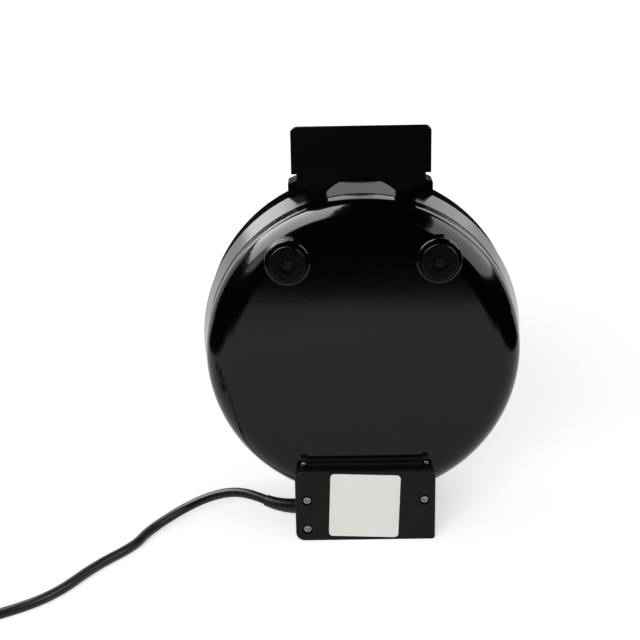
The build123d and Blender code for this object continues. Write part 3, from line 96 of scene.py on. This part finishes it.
right = Vector((math.cos(YAW), -math.sin(YAW), 0))
forward = Vector((
    math.sin(YAW) * math.cos(PITCH_DOWN),
    math.cos(YAW) * math.cos(PITCH_DOWN),
    -math.sin(PITCH_DOWN),
))
up = right.cross(forward)
rolled_right = right * math.cos(ROLL) - up * math.sin(ROLL)
rolled_up = right * math.sin(ROLL) + up * math.cos(ROLL)

camera_data = bpy.data.cameras.new("camera")
camera_data.sensor_width = SENSOR_WIDTH
camera_data.lens = FOCAL_PIXELS / IMAGE_WIDTH * SENSOR_WIDTH
camera = bpy.data.objects.new("camera", camera_data)
bpy.context.scene.collection.objects.link(camera)
axes = Matrix((rolled_right, rolled_up, -forward)).transposed().to_4x4()
camera.matrix_world = Matrix.Translation(metres(*CAMERA_PLACE)) @ axes
bpy.context.scene.camera = camera
print("lens:", round(camera_data.lens, 1), "mm")

# %% [markdown]
# ## The mains lead
# A lead is a fixed length of something bendy. It leaves the strain relief, bows over, sinks to
# the floor and runs off to the left. The part that the picture doesn't show is wound into a
# coil on the same floor, and it ends in its plug. The CAD model holds it as three plain tubes,
# which could be shown as they are. One NURBS curve with a round bevel runs through without a
# joint and is easy to re-route: a few listed points for the free run and the tail, and a loop
# for the turns of the coil.

# %% Route of the lead
LEAD_DIAMETER = 7.3
FLOOR_REST = LEAD_DIAMETER / 2     # height of the middle where the lead lies on the floor
COIL_HIGH = 11.55                  # height of the middle in the coil's upper layer
COIL_X = -318.0
COIL_POINTS = 8                    # control points on each half turn

free_run = [
    (-74.26, -23.56, 17.42),
    (-85.7, -17.8, 20.0),
    (-101.9, -13.4, 20.3),
    (-120.7, -13.0, 15.5),
    (-140.8, -21.3, 8.8),
    (-162.8, -45.3, FLOOR_REST),
    (-169.3, -68.2, FLOOR_REST),
    (-193.6, -97.5, FLOOR_REST),
    (-214.0, -137.0, FLOOR_REST),
    (-243.0, -160.0, FLOOR_REST),
    (-280.0, -177.0, FLOOR_REST),
    (COIL_X, -177.0, FLOOR_REST),
]
tail = [
    (COIL_X, -169.0, COIL_HIGH),
    (-340.0, -169.0, COIL_HIGH),
    (-364.0, -163.0, 13.0),
    (-382.0, -148.0, 16.0),
    (-390.0, -126.0, 18.5),
    (-390.0, -104.0, 18.5),
]
# Radius of each half turn, and the layers it starts and ends in: 0 is the floor, 1 the upper one
half_turns = [
    (46, 0, 0), (42, 0, 0), (38, 0, 0), (34, 0, 1), (38, 1, 1), (42, 1, 1),
]

coil = []
y = free_run[-1][1]
side = 1
step = math.pi / COIL_POINTS
for radius, layer_in, layer_out in half_turns:
    for k in range(COIL_POINTS):
        share = (k + 0.5) / COIL_POINTS
        angle = -side * math.pi / 2 - share * math.pi
        reach = radius / math.cos(step / 2)
        layer = layer_in + (layer_out - layer_in) * share
        coil.append((
            COIL_X + reach * math.cos(angle),
            y + side * radius + reach * math.sin(angle),
            FLOOR_REST + (COIL_HIGH - FLOOR_REST) * layer,
        ))
    y += side * 2 * radius
    side = -side
print("coil ends at y", y, "with", len(coil), "points")

# %% [markdown]
# A bevel gives a curve its thickness. Blender pads a curve's bounds by its largest point radius,
# so each point carries the lead's real radius here, and the bevel's own depth is 1.

# %% Lead as a curve
lead_curve = bpy.data.curves.new("lead", "CURVE")
lead_curve.dimensions = "3D"
spline = lead_curve.splines.new("NURBS")
route = free_run + coil + tail
spline.points.add(len(route) - 1)
for point, place in zip(spline.points, route):
    point.co = (*metres(*place), 1)
    point.radius = LEAD_DIAMETER / 2 * MM
spline.order_u = 3
spline.use_endpoint_u = True
spline.resolution_u = 8
lead_curve.bevel_depth = 1
lead_curve.bevel_resolution = 6
lead = bpy.data.objects.new("mains_lead", lead_curve)
bpy.context.scene.collection.objects.link(lead)
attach(lead, "base")
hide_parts("mains_cord", "cord_coil", "cord_tail")
print("lead points:", len(route))

# %% [markdown]
# ## Helpers for shaders and meshes
# A material is a tree of nodes. One function adds a node with its settings and links, so a
# finish reads from top to bottom. The world has such a tree too, so the same function serves it.

# %% Nodes, materials and plain meshes
def add_node(owner, kind, inputs=None, **settings):
    """Add a node to a material or world. Inputs are values, or outputs that get linked."""
    node = owner.node_tree.nodes.new(kind)
    for name, value in settings.items():
        setattr(node, name, value)
    for name, value in (inputs or {}).items():
        socket = node.inputs[name]
        if isinstance(value, bpy.types.NodeSocket):
            owner.node_tree.links.new(value, socket)
        else:
            socket.default_value = value
    return node


def new_material(name):
    """An empty node material and its output node."""
    material = bpy.data.materials.new(name)
    material.use_nodes = True
    material.node_tree.nodes.clear()
    output = add_node(material, "ShaderNodeOutputMaterial")
    return material, output


def link_mesh(name, points, faces, smooth=True):
    """A mesh object from points in millimetres."""
    mesh = bpy.data.meshes.new(name)
    mesh.from_pydata([metres(*p) for p in points], [], faces)
    mesh.validate()
    for polygon in mesh.polygons:
        polygon.use_smooth = smooth
    thing = bpy.data.objects.new(name, mesh)
    bpy.context.scene.collection.objects.link(thing)
    return thing


def seen_share(owner):
    """1 for what is seen by the camera, in a reflection or through glass, and 0 for its light."""
    path = add_node(owner, "ShaderNodeLightPath")
    straight = add_node(owner, "ShaderNodeMath", {
        0: path.outputs["Is Camera Ray"],
        1: path.outputs["Is Glossy Ray"],
    }, operation="MAXIMUM")
    seen = add_node(owner, "ShaderNodeMath", {
        0: straight.outputs[0],
        1: path.outputs["Is Transmission Ray"],
    }, operation="MAXIMUM")
    return seen.outputs[0]


print("helpers ready")

# %% [markdown]
# ## The studio
# A gloss black object shows hardly any colour of its own. What we see is the room in it, so the
# room has to be built: a pale floor under a white sky, soft lamps, and dark cloth where the
# enamel has to stay black.
#
# The floor is matt, off-white board. A plain white plane would either grey out or need so much
# light that the object washes out. So the floor keeps its true colour for the light it sends
# on, and only where it is seen does it get a glow, a little stronger further out. The shadow
# stays, because the glow is added to the lit board.

# %% Pale floor
FLOOR_REACH = 14000
FLOOR_MOTTLE = 31       # millimetres between the faint light and dark patches
GLOW_START = 0.3        # metres from the middle of the floor
GLOW_END = 1.1
floor_material, output = new_material("pale_floor")
spot = add_node(floor_material, "ShaderNodeNewGeometry")
grain = add_node(floor_material, "ShaderNodeTexNoise", {
    "Vector": spot.outputs["Position"],
    "Scale": 1000 / FLOOR_MOTTLE,
    "Detail": 3.0,
})
tint = add_node(floor_material, "ShaderNodeMix", {
    "Factor": grain.outputs["Fac"],
    "A": linear("#efefef"),
    "B": linear("#f4f4f4"),
}, data_type="RGBA")
board = add_node(floor_material, "ShaderNodeBsdfDiffuse", {"Color": tint.outputs["Result"]})
distance = add_node(floor_material, "ShaderNodeVectorMath", {
    0: spot.outputs["Position"],
}, operation="LENGTH")
sweep = add_node(floor_material, "ShaderNodeMapRange", {
    "Value": distance.outputs["Value"],
    "From Min": GLOW_START,
    "From Max": GLOW_END,
    "To Min": 0.55,
    "To Max": 0.76,
})
glow = add_node(floor_material, "ShaderNodeEmission", {
    "Color": linear("#ffffff"),
    "Strength": sweep.outputs["Result"],
})
glowing_board = add_node(floor_material, "ShaderNodeAddShader", {
    0: board.outputs[0],
    1: glow.outputs[0],
})
shown = add_node(floor_material, "ShaderNodeMixShader", {
    "Fac": seen_share(floor_material),
    1: board.outputs[0],
    2: glowing_board.outputs[0],
})
floor_material.node_tree.links.new(shown.outputs[0], output.inputs["Surface"])

floor = link_mesh("floor", [
    (-FLOOR_REACH, -FLOOR_REACH, 0),
    (FLOOR_REACH, -FLOOR_REACH, 0),
    (FLOOR_REACH, FLOOR_REACH, 0),
    (-FLOOR_REACH, FLOOR_REACH, 0),
], [(0, 1, 2, 3)])
floor.data.materials.append(floor_material)
print("floor:", 2 * FLOOR_REACH * MM, "m wide")

# %% [markdown]
# The room is white to look at, but it gives the object only a low, even light. One background
# would tie the two together, so Light Path picks between a dim one for lighting and a white one
# for the camera and for reflections.

# %% White room
world = bpy.data.worlds.new("studio")
world.use_nodes = True
bpy.context.scene.world = world
world.node_tree.nodes.clear()
ambient = add_node(world, "ShaderNodeBackground", {"Color": linear("#ffffff"), "Strength": 0.38})
white = add_node(world, "ShaderNodeBackground", {"Color": linear("#ffffff"), "Strength": 1.0})
mixed = add_node(world, "ShaderNodeMixShader", {
    "Fac": seen_share(world),
    1: ambient.outputs[0],
    2: white.outputs[0],
})
add_node(world, "ShaderNodeOutputWorld", {"Surface": mixed.outputs[0]})
print("room nodes:", len(world.node_tree.nodes))

# %% [markdown]
# Matt and gloss surfaces answer to different lamps here. One key lamp, low in front and to the
# left, lights what is matt and throws the soft shadow. The others only show as reflections: a
# big soft box at the upper left makes the brightest streak on the pan's shoulder, with a dimmer
# box in front of it, a long dim one stands on the right, and two faint ones stand behind. A lamp
# that did both jobs could not be tuned for one without upsetting the other.

# %% Lamps
def soft_lamp(name, place, aim, size, radiance, lights):
    """A soft lamp in millimetres. It lights matt surfaces, or shows in glossy ones."""
    data = bpy.data.lights.new(name, "AREA")
    data.shape = "RECTANGLE"
    data.size = size[0] * MM
    data.size_y = size[1] * MM
    data.energy = radiance * math.pi * data.size * data.size_y
    lamp = bpy.data.objects.new(name, data)
    lamp.location = metres(*place)
    heading = metres(*aim) - lamp.location
    lamp.rotation_euler = heading.to_track_quat("-Z", "Y").to_euler()
    lamp.visible_camera = False
    lamp.visible_diffuse = lights == "matt"
    lamp.visible_glossy = lights == "gloss"
    bpy.context.scene.collection.objects.link(lamp)
    print(name, round(data.energy, 1), "W")


soft_lamp(
    "key", place=(-700, -1900, 900), aim=(0, -20, 130),
    size=(1200, 900), radiance=8, lights="matt",
)
soft_lamp(
    "left_box", place=(-780, 250, 1310), aim=(0, 60, 240),
    size=(1500, 1250), radiance=12, lights="gloss",
)
soft_lamp(
    "left_box_edge", place=(-1150, -750, 1050), aim=(0, -750, 1050),
    size=(700, 800), radiance=3, lights="gloss",
)
soft_lamp(
    "right_box", place=(1050, -50, 900), aim=(0, -50, 240),
    size=(1800, 850), radiance=4.6, lights="gloss",
)
soft_lamp(
    "back_left", place=(-1250, 2100, 1050), aim=(0, 0, 240),
    size=(1000, 800), radiance=2.6, lights="gloss",
)
soft_lamp(
    "back_right", place=(1250, 2100, 1050), aim=(0, 0, 240),
    size=(1100, 900), radiance=0.8, lights="gloss",
)

# %% [markdown]
# Photographers hang black velvet where a gloss surface must stay dark. Here it ends the pale
# floor in front and at the sides, covers the front and side walls and the roof, and stands
# behind the object. It is hidden from the camera and casts no shadow, so it only shows in
# reflections.

# %% Black velvet
VELVET_WEAVE = 20       # millimetres, far coarser than real pile, or it wouldn't show at all
velvet, output = new_material("black_velvet")
spot = add_node(velvet, "ShaderNodeNewGeometry")
weave = add_node(velvet, "ShaderNodeTexNoise", {
    "Vector": spot.outputs["Position"],
    "Scale": 1000 / VELVET_WEAVE,
})
dark = add_node(velvet, "ShaderNodeMix", {
    "Factor": weave.outputs["Fac"],
    "A": linear("#020202"),
    "B": linear("#060606"),
}, data_type="RGBA")
pile = add_node(velvet, "ShaderNodeBsdfDiffuse", {"Color": dark.outputs["Result"]})
velvet.node_tree.links.new(pile.outputs[0], output.inputs["Surface"])


def hang_cloth(name, corners):
    """A flat sheet of velvet through its corners, in millimetres, unseen by the camera."""
    sheet = link_mesh(name, corners, [tuple(range(len(corners)))])
    sheet.data.materials.append(velvet)
    sheet.visible_camera = False
    sheet.visible_diffuse = False
    sheet.visible_shadow = False
    print("hung", name)


print("velvet nodes:", len(velvet.node_tree.nodes))

# %% Cloths around the floor
CLOTH_LIFT = 4          # the cloths lie this far above the floor
FLOOR_FRONT = -620      # where the pale floor ends towards the camera
FLOOR_SIDE = 540        # where it ends to the left and right
SIDE_START = 300        # from here on the pale floor widens to the back
ROOM_HALF = 4500
ROOM_BACK = 1500
hang_cloth("cloth_front_floor", [
    (-ROOM_HALF, -ROOM_HALF, CLOTH_LIFT),
    (ROOM_HALF, -ROOM_HALF, CLOTH_LIFT),
    (ROOM_HALF, FLOOR_FRONT, CLOTH_LIFT),
    (-ROOM_HALF, FLOOR_FRONT, CLOTH_LIFT),
])
hang_cloth("cloth_left_floor", [
    (-ROOM_HALF, FLOOR_FRONT, CLOTH_LIFT),
    (-FLOOR_SIDE, FLOOR_FRONT, CLOTH_LIFT),
    (-FLOOR_SIDE, SIDE_START, CLOTH_LIFT),
    (-ROOM_HALF, ROOM_BACK, CLOTH_LIFT),
])
hang_cloth("cloth_right_floor", [
    (FLOOR_SIDE, FLOOR_FRONT, CLOTH_LIFT),
    (ROOM_HALF, FLOOR_FRONT, CLOTH_LIFT),
    (ROOM_HALF, ROOM_BACK, CLOTH_LIFT),
    (FLOOR_SIDE, SIDE_START, CLOTH_LIFT),
])

# %% Cloths on the walls and the roof
ROOF_HEIGHT = 2600
ROOF_BACK = 3900
SIDE_WALL = 3000
hang_cloth("cloth_front_wall", [
    (-ROOM_HALF, -ROOM_HALF, 0),
    (ROOM_HALF, -ROOM_HALF, 0),
    (ROOM_HALF, -ROOM_HALF, ROOF_HEIGHT),
    (-ROOM_HALF, -ROOM_HALF, ROOF_HEIGHT),
])
for name, x in (("cloth_left_wall", -SIDE_WALL), ("cloth_right_wall", SIDE_WALL)):
    hang_cloth(name, [
        (x, -ROOM_HALF, 0),
        (x, ROOM_BACK, 0),
        (x, ROOM_BACK, ROOF_HEIGHT),
        (x, -ROOM_HALF, ROOF_HEIGHT),
    ])
hang_cloth("cloth_roof", [
    (-ROOM_HALF, -ROOM_HALF, ROOF_HEIGHT),
    (ROOM_HALF, -ROOM_HALF, ROOF_HEIGHT),
    (ROOM_HALF, ROOF_BACK, ROOF_HEIGHT),
    (-ROOM_HALF, ROOF_BACK, ROOF_HEIGHT),
])

# %% Cloths behind the object
STRIP_START = 650
STRIP_START_HALF = 300
SCREEN_DISTANCE = 1850
SCREEN_HALF = 650
SCREEN_HEIGHT = 600
hang_cloth("cloth_back_floor", [
    (-STRIP_START_HALF, STRIP_START, CLOTH_LIFT),
    (STRIP_START_HALF, STRIP_START, CLOTH_LIFT),
    (SCREEN_HALF, SCREEN_DISTANCE, CLOTH_LIFT),
    (-SCREEN_HALF, SCREEN_DISTANCE, CLOTH_LIFT),
])
hang_cloth("cloth_back", [
    (-SCREEN_HALF, SCREEN_DISTANCE, 0),
    (SCREEN_HALF, SCREEN_DISTANCE, 0),
    (SCREEN_HALF, SCREEN_DISTANCE, SCREEN_HEIGHT),
    (-SCREEN_HALF, SCREEN_DISTANCE, SCREEN_HEIGHT),
])

# %% [markdown]
# Under the arch of the grip the gloss rim would only mirror the dark grip. A photographer puts
# a small white card there. This studio has a glowing one instead: a curved strip that follows
# the arch and leans down to the back, and paints a highlight on the rim. The camera doesn't
# see it, only the gloss rim below it does.

# %% White card under the arch
ARCH_RADIUS = 38
ARCH_TOP = 262.7
CARD_GAP = 0.6          # between the arch and the card's front edge
CARD_SINK = 4           # how far the card's back edge hangs below the arch
CARD_FRONT = -9
CARD_BACK = 12.3
CARD_PIECES = 12
PIECE_DEGREES = 7
card_radius = ARCH_RADIUS - CARD_GAP
card_points = []
for depth, sink in ((CARD_FRONT, CARD_GAP), (CARD_BACK, CARD_SINK)):
    for k in range(CARD_PIECES + 1):
        angle = math.radians(PIECE_DEGREES * (k - CARD_PIECES / 2))
        card_points.append((
            card_radius * math.sin(angle),
            depth,
            ARCH_TOP - ARCH_RADIUS - sink + card_radius * math.cos(angle),
        ))
row = CARD_PIECES + 1
card_faces = [(k, k + 1, k + row + 1, k + row) for k in range(CARD_PIECES)]
card_material, output = new_material("glowing_highlight_card")
# The card glows with no lamp on it: a painted highlight that only the gloss rim shows
card_glow = add_node(card_material, "ShaderNodeEmission", {
    "Color": linear("#ffffff"),
    "Strength": 1.0,
})
card_material.node_tree.links.new(card_glow.outputs[0], output.inputs["Surface"])
card = link_mesh("arch_highlight_card", card_points, card_faces)
card.data.materials.append(card_material)
card.visible_camera = False
card.visible_diffuse = False
card.visible_shadow = False
print("card points:", len(card_points))

# %% [markdown]
# ## How a finish is built
# No real surface is one flat colour. Each finish here has a base colour that drifts between two
# near values, a roughness that drifts with it, and a fine bump. Image textures could do that
# too, but noise needs no files and has no seams. Pattern sizes are real sizes in millimetres:
# a noise of scale 1000 / s has features about s millimetres wide.
#
# The turned shells have a flaw of their own. Where a revolved face meets its axis, the stored
# normals lean over by some degrees, which drew a dark half ring in the middle of the lid. So
# where a face looks straight along the axis, the face's own normal shades it.

# %% Normal at the middle of the turned shells
FLAT_LIMIT = 0.9998     # cosine of about one degree


def axis_safe_normal(material):
    """The smooth normal, but the face's own one where the face looks along the body's axis."""
    surface = add_node(material, "ShaderNodeNewGeometry")
    facing = add_node(material, "ShaderNodeVectorTransform", {
        "Vector": surface.outputs["True Normal"],
    }, vector_type="NORMAL", convert_from="WORLD", convert_to="OBJECT")
    parts = add_node(material, "ShaderNodeSeparateXYZ", {"Vector": facing.outputs["Vector"]})
    along = add_node(material, "ShaderNodeMath", {0: parts.outputs["Y"]}, operation="ABSOLUTE")
    is_flat = add_node(material, "ShaderNodeMath", {
        0: along.outputs[0],
        1: FLAT_LIMIT,
    }, operation="GREATER_THAN")
    # In the list of all sockets, 4 and 5 are the two ends of a vector mix, and output 1 its result
    picked = add_node(material, "ShaderNodeMix", {
        "Factor": is_flat.outputs[0],
        4: surface.outputs["Normal"],
        5: surface.outputs["True Normal"],
    }, data_type="VECTOR")
    return picked.outputs[1]


print("flat within", round(math.degrees(math.acos(FLAT_LIMIT)), 2), "degrees")

# %% Shared mottled finish
NOISE_LOW = 0.3         # the noise hardly ever leaves this range, so it maps to the whole drift
NOISE_HIGH = 0.7
GRAIN_DEPTH = 0.2       # height of a grain as a share of its width


def mottled(name, colours, patch, rough, grain, bump, ior=1.5, metallic=0.0):
    """A finish with drifting colour and roughness and a fine grain, sizes in millimetres."""
    material, output = new_material(name)
    place = add_node(material, "ShaderNodeTexCoord")
    patches = add_node(material, "ShaderNodeTexNoise", {
        "Vector": place.outputs["Object"],
        "Scale": 1000 / patch,
        "Detail": 4.0,
    })
    colour = add_node(material, "ShaderNodeMix", {
        "Factor": patches.outputs["Fac"],
        "A": linear(colours[0]),
        "B": linear(colours[1]),
    }, data_type="RGBA")
    roughness = add_node(material, "ShaderNodeMapRange", {
        "Value": patches.outputs["Fac"],
        "From Min": NOISE_LOW,
        "From Max": NOISE_HIGH,
        "To Min": rough[0],
        "To Max": rough[1],
    })
    fine = add_node(material, "ShaderNodeTexNoise", {
        "Vector": place.outputs["Object"],
        "Scale": 1000 / grain,
        "Detail": 2.0,
    })
    relief = add_node(material, "ShaderNodeBump", {
        "Normal": axis_safe_normal(material),
        "Height": fine.outputs["Fac"],
        "Strength": bump,
        "Distance": grain * MM * GRAIN_DEPTH,
    })
    skin = add_node(material, "ShaderNodeBsdfPrincipled", {
        "Base Color": colour.outputs["Result"],
        "Roughness": roughness.outputs["Result"],
        "Normal": relief.outputs["Normal"],
        "Metallic": metallic,
        "IOR": ior,
    })
    material.node_tree.links.new(skin.outputs[0], output.inputs["Surface"])
    return material


print("finish recipe ready")

# %% [markdown]
# ## The dark outside
# Enamel, plastics, rubber and PVC all look black in the photograph. What tells them apart is how
# they mirror the room. The index of refraction (IOR) of each starts near 1.5, and it was then
# lowered until the mirrored lamps were as dim as in the picture.

# %% Black finishes
# Enamel baked on drawn steel: glassy and deep black, it mirrors lamps with crisp, wavy edges
enamel = mottled(
    "black_baked_enamel", ("#020203", "#040405"),
    patch=60, rough=(0.09, 0.13), grain=1.6, bump=0.05, ior=1.31,
)
# ABS of the rim and the grip, moulded in a polished tool: gloss, with softer edges than enamel
gloss_abs = mottled(
    "gloss_black_abs", ("#050506", "#080809"),
    patch=40, rough=(0.16, 0.22), grain=1.0, bump=0.05, ior=1.46,
)
# ABS of the box, moulded in a spark-eroded tool: its fine grain scatters what it would mirror
satin_abs = mottled(
    "satin_black_abs", ("#050505", "#080808"),
    patch=14, rough=(0.42, 0.5), grain=0.5, bump=0.3, ior=1.26,
)
# Moulded silicone rubber: nearly matt, with only a dull sheen along its edges
rubber = mottled(
    "black_silicone_rubber", ("#020202", "#040404"),
    patch=6, rough=(0.24, 0.34), grain=0.35, bump=0.2, ior=1.22,
)
# PVC, extruded for the lead and moulded for its plug: a soft line of light follows its length
pvc = mottled(
    "black_pvc_sheath", ("#050506", "#090909"),
    patch=12, rough=(0.28, 0.38), grain=0.6, bump=0.12, ior=1.36,
)
# Steel screws with a black oxide skin: dull, and hardly to be told from the rubber around them
black_steel = mottled(
    "blackened_steel", ("#050505", "#0a0a0a"),
    patch=3, rough=(0.3, 0.45), grain=0.3, bump=0.1, ior=1.3,
)
print("black finishes:", 6)

# %% [markdown]
# ## Bare and plated metals
# The screws, the hinge pins, the heaters and the shields keep a metal surface. A metal has no
# colour of its own under that surface. Its base colour only tints what it mirrors, so roughness
# does most of the work. The IOR stays at its default.

# %% Metal finishes
# Bright nickel on steel screws: a small crisp glint, greyed to come near the picture's heads
nickel = mottled(
    "bright_nickel_plate", ("#7d7973", "#96928b"),
    patch=3, rough=(0.16, 0.3), grain=0.3, bump=0.1, metallic=1.0,
)
# Hot-dipped aluminised sheet: pale and cloudy, with a faint spangle
aluminised = mottled(
    "aluminised_steel", ("#a9aaab", "#c3c4c5"),
    patch=5, rough=(0.3, 0.45), grain=0.8, bump=0.12, metallic=1.0,
)
# Sheath of a tubular heater, browned by its first heats
sheath = mottled(
    "oxidised_heater_steel", ("#4a4640", "#6a635a"),
    patch=5, rough=(0.4, 0.6), grain=0.6, bump=0.2, metallic=1.0,
)
# Turned steel of the hinge pins: clean and bright, with a soft reflection
bright_steel = mottled(
    "bright_steel", ("#9fa0a1", "#b4b5b6"),
    patch=5, rough=(0.2, 0.32), grain=0.4, bump=0.1, metallic=1.0,
)
# Nickelled brass of the plug's and the heaters' pins, worn to a pale yellow
brass = mottled(
    "nickelled_brass", ("#b9a877", "#d2c391"),
    patch=3, rough=(0.2, 0.3), grain=0.3, bump=0.1, metallic=1.0,
)
print("metal finishes:", 5)

# %% [markdown]
# ## Coatings and insulators
# The coated plates show with the lid open, the two lamp lenses from the back, and the heat-proof
# insulators only if the casings come off. The lens colours are deep, because a lens that isn't
# lit looks dark.

# %% Inner finishes
# Sprayed nonstick coating on cast aluminium: charcoal, with the tooth of the blasted metal
nonstick = mottled(
    "nonstick_coating", ("#1d1c1b", "#272625"),
    patch=4, rough=(0.32, 0.42), grain=0.5, bump=0.25, ior=1.4,
)
# Pressed phenolic: cream and dull, like unglazed china
phenolic = mottled(
    "white_phenolic", ("#cfcabd", "#dedacf"),
    patch=8, rough=(0.35, 0.5), grain=0.6, bump=0.2,
)
# Braided glass sleeving dipped in silicone: matt, with a coarse tooth where the braid shows
sleeving = mottled(
    "glass_silicone_sleeving", ("#b9b2a4", "#d8d2c6"),
    patch=2, rough=(0.6, 0.8), grain=0.5, bump=0.5,
)
# Moulded lenses of the two lamps: deep colour under a clean gloss
red_lens = mottled(
    "red_lens", ("#7a0a08", "#8f100c"),
    patch=6, rough=(0.08, 0.14), grain=1.0, bump=0.05, ior=1.58,
)
green_lens = mottled(
    "green_lens", ("#0a5a22", "#0f6f2c"),
    patch=6, rough=(0.08, 0.14), grain=1.0, bump=0.05, ior=1.58,
)
print("inner finishes:", 5)

# %% [markdown]
# ## Dress the pieces
# The record names a material slot for each piece, so one table from slot to finish dresses them
# all. The screws in the feet share the nickel slot, but they are black in the photograph, so
# they are dressed apart.

# %% Dress the nodes
finish_of_slot = {
    "black_enamel": enamel,
    "gloss_black_plastic": gloss_abs,
    "satin_black_plastic": satin_abs,
    "nonstick_aluminium": nonstick,
    "aluminised_steel": aluminised,
    "heater_steel": sheath,
    "nickel_steel": nickel,
    "hinge_steel": bright_steel,
    "brass_pins": brass,
    "foot_rubber": rubber,
    "white_phenolic": phenolic,
    "red_lens": red_lens,
    "green_lens": green_lens,
    "cord_pvc": pvc,
    "wire_insulation": sleeving,
}
for part in frame["record"]["subparts"]:
    for holder in nodes[part["node"]].material_slots:
        holder.material = finish_of_slot[part["material_slot"]]
for holder in nodes["foot_screws"].material_slots:
    holder.material = black_steel
lead_curve.materials.append(pvc)

# %% [markdown]
# ## The blank sticker
# The cover carries an off-white paper sticker, set on a little askew. It stays blank here. A
# decal image could stand in for it, but a thin sheet with rounded corners, laid on the cover's
# flat face, catches the light at its edge as real paper does.

# %% Sticker
STICKER_WIDTH = 51.2
STICKER_HEIGHT = 49.8
STICKER_CORNER = 3
STICKER_THICKNESS = 0.12
STICKER_TILT = math.radians(-2.2)
STICKER_X = -0.6
STICKER_Z = 27.9
CORNER_PIECES = 6       # straight pieces in each quarter round
# Uncoated paper: warm off-white and dull, with the faint tooth of its fibres
paper = mottled(
    "off_white_paper", ("#dddcd6", "#e6e5df"),
    patch=9, rough=(0.45, 0.6), grain=0.25, bump=0.2, ior=1.45,
)
cover_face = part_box("box_cover")[0].y / MM

outline = []
for cx, cz, first in ((1, 1, 0), (-1, 1, 90), (-1, -1, 180), (1, -1, 270)):
    for k in range(CORNER_PIECES + 1):
        angle = math.radians(first + 90 / CORNER_PIECES * k)
        outline.append((
            cx * (STICKER_WIDTH / 2 - STICKER_CORNER) + STICKER_CORNER * math.cos(angle),
            cz * (STICKER_HEIGHT / 2 - STICKER_CORNER) + STICKER_CORNER * math.sin(angle),
        ))
points = []
for depth in (0.0, STICKER_THICKNESS):
    for x, z in outline:
        points.append((
            STICKER_X + x * math.cos(STICKER_TILT) - z * math.sin(STICKER_TILT),
            cover_face - depth,
            STICKER_Z + x * math.sin(STICKER_TILT) + z * math.cos(STICKER_TILT),
        ))
count = len(outline)
faces = [tuple(range(count, 2 * count)), tuple(reversed(range(count)))]
faces += [(k, (k + 1) % count, count + (k + 1) % count, count + k) for k in range(count)]
sticker = link_mesh("blank_sticker", points, faces, smooth=False)
sticker.data.materials.append(paper)
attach(sticker, "base")
print("sticker outline points:", count)

# %% [markdown]
# ## The end
# The Standard view transform leaves colours as they were picked.

# %% View transform
bpy.context.scene.view_settings.view_transform = "Standard"
bpy.context.view_layer.update()
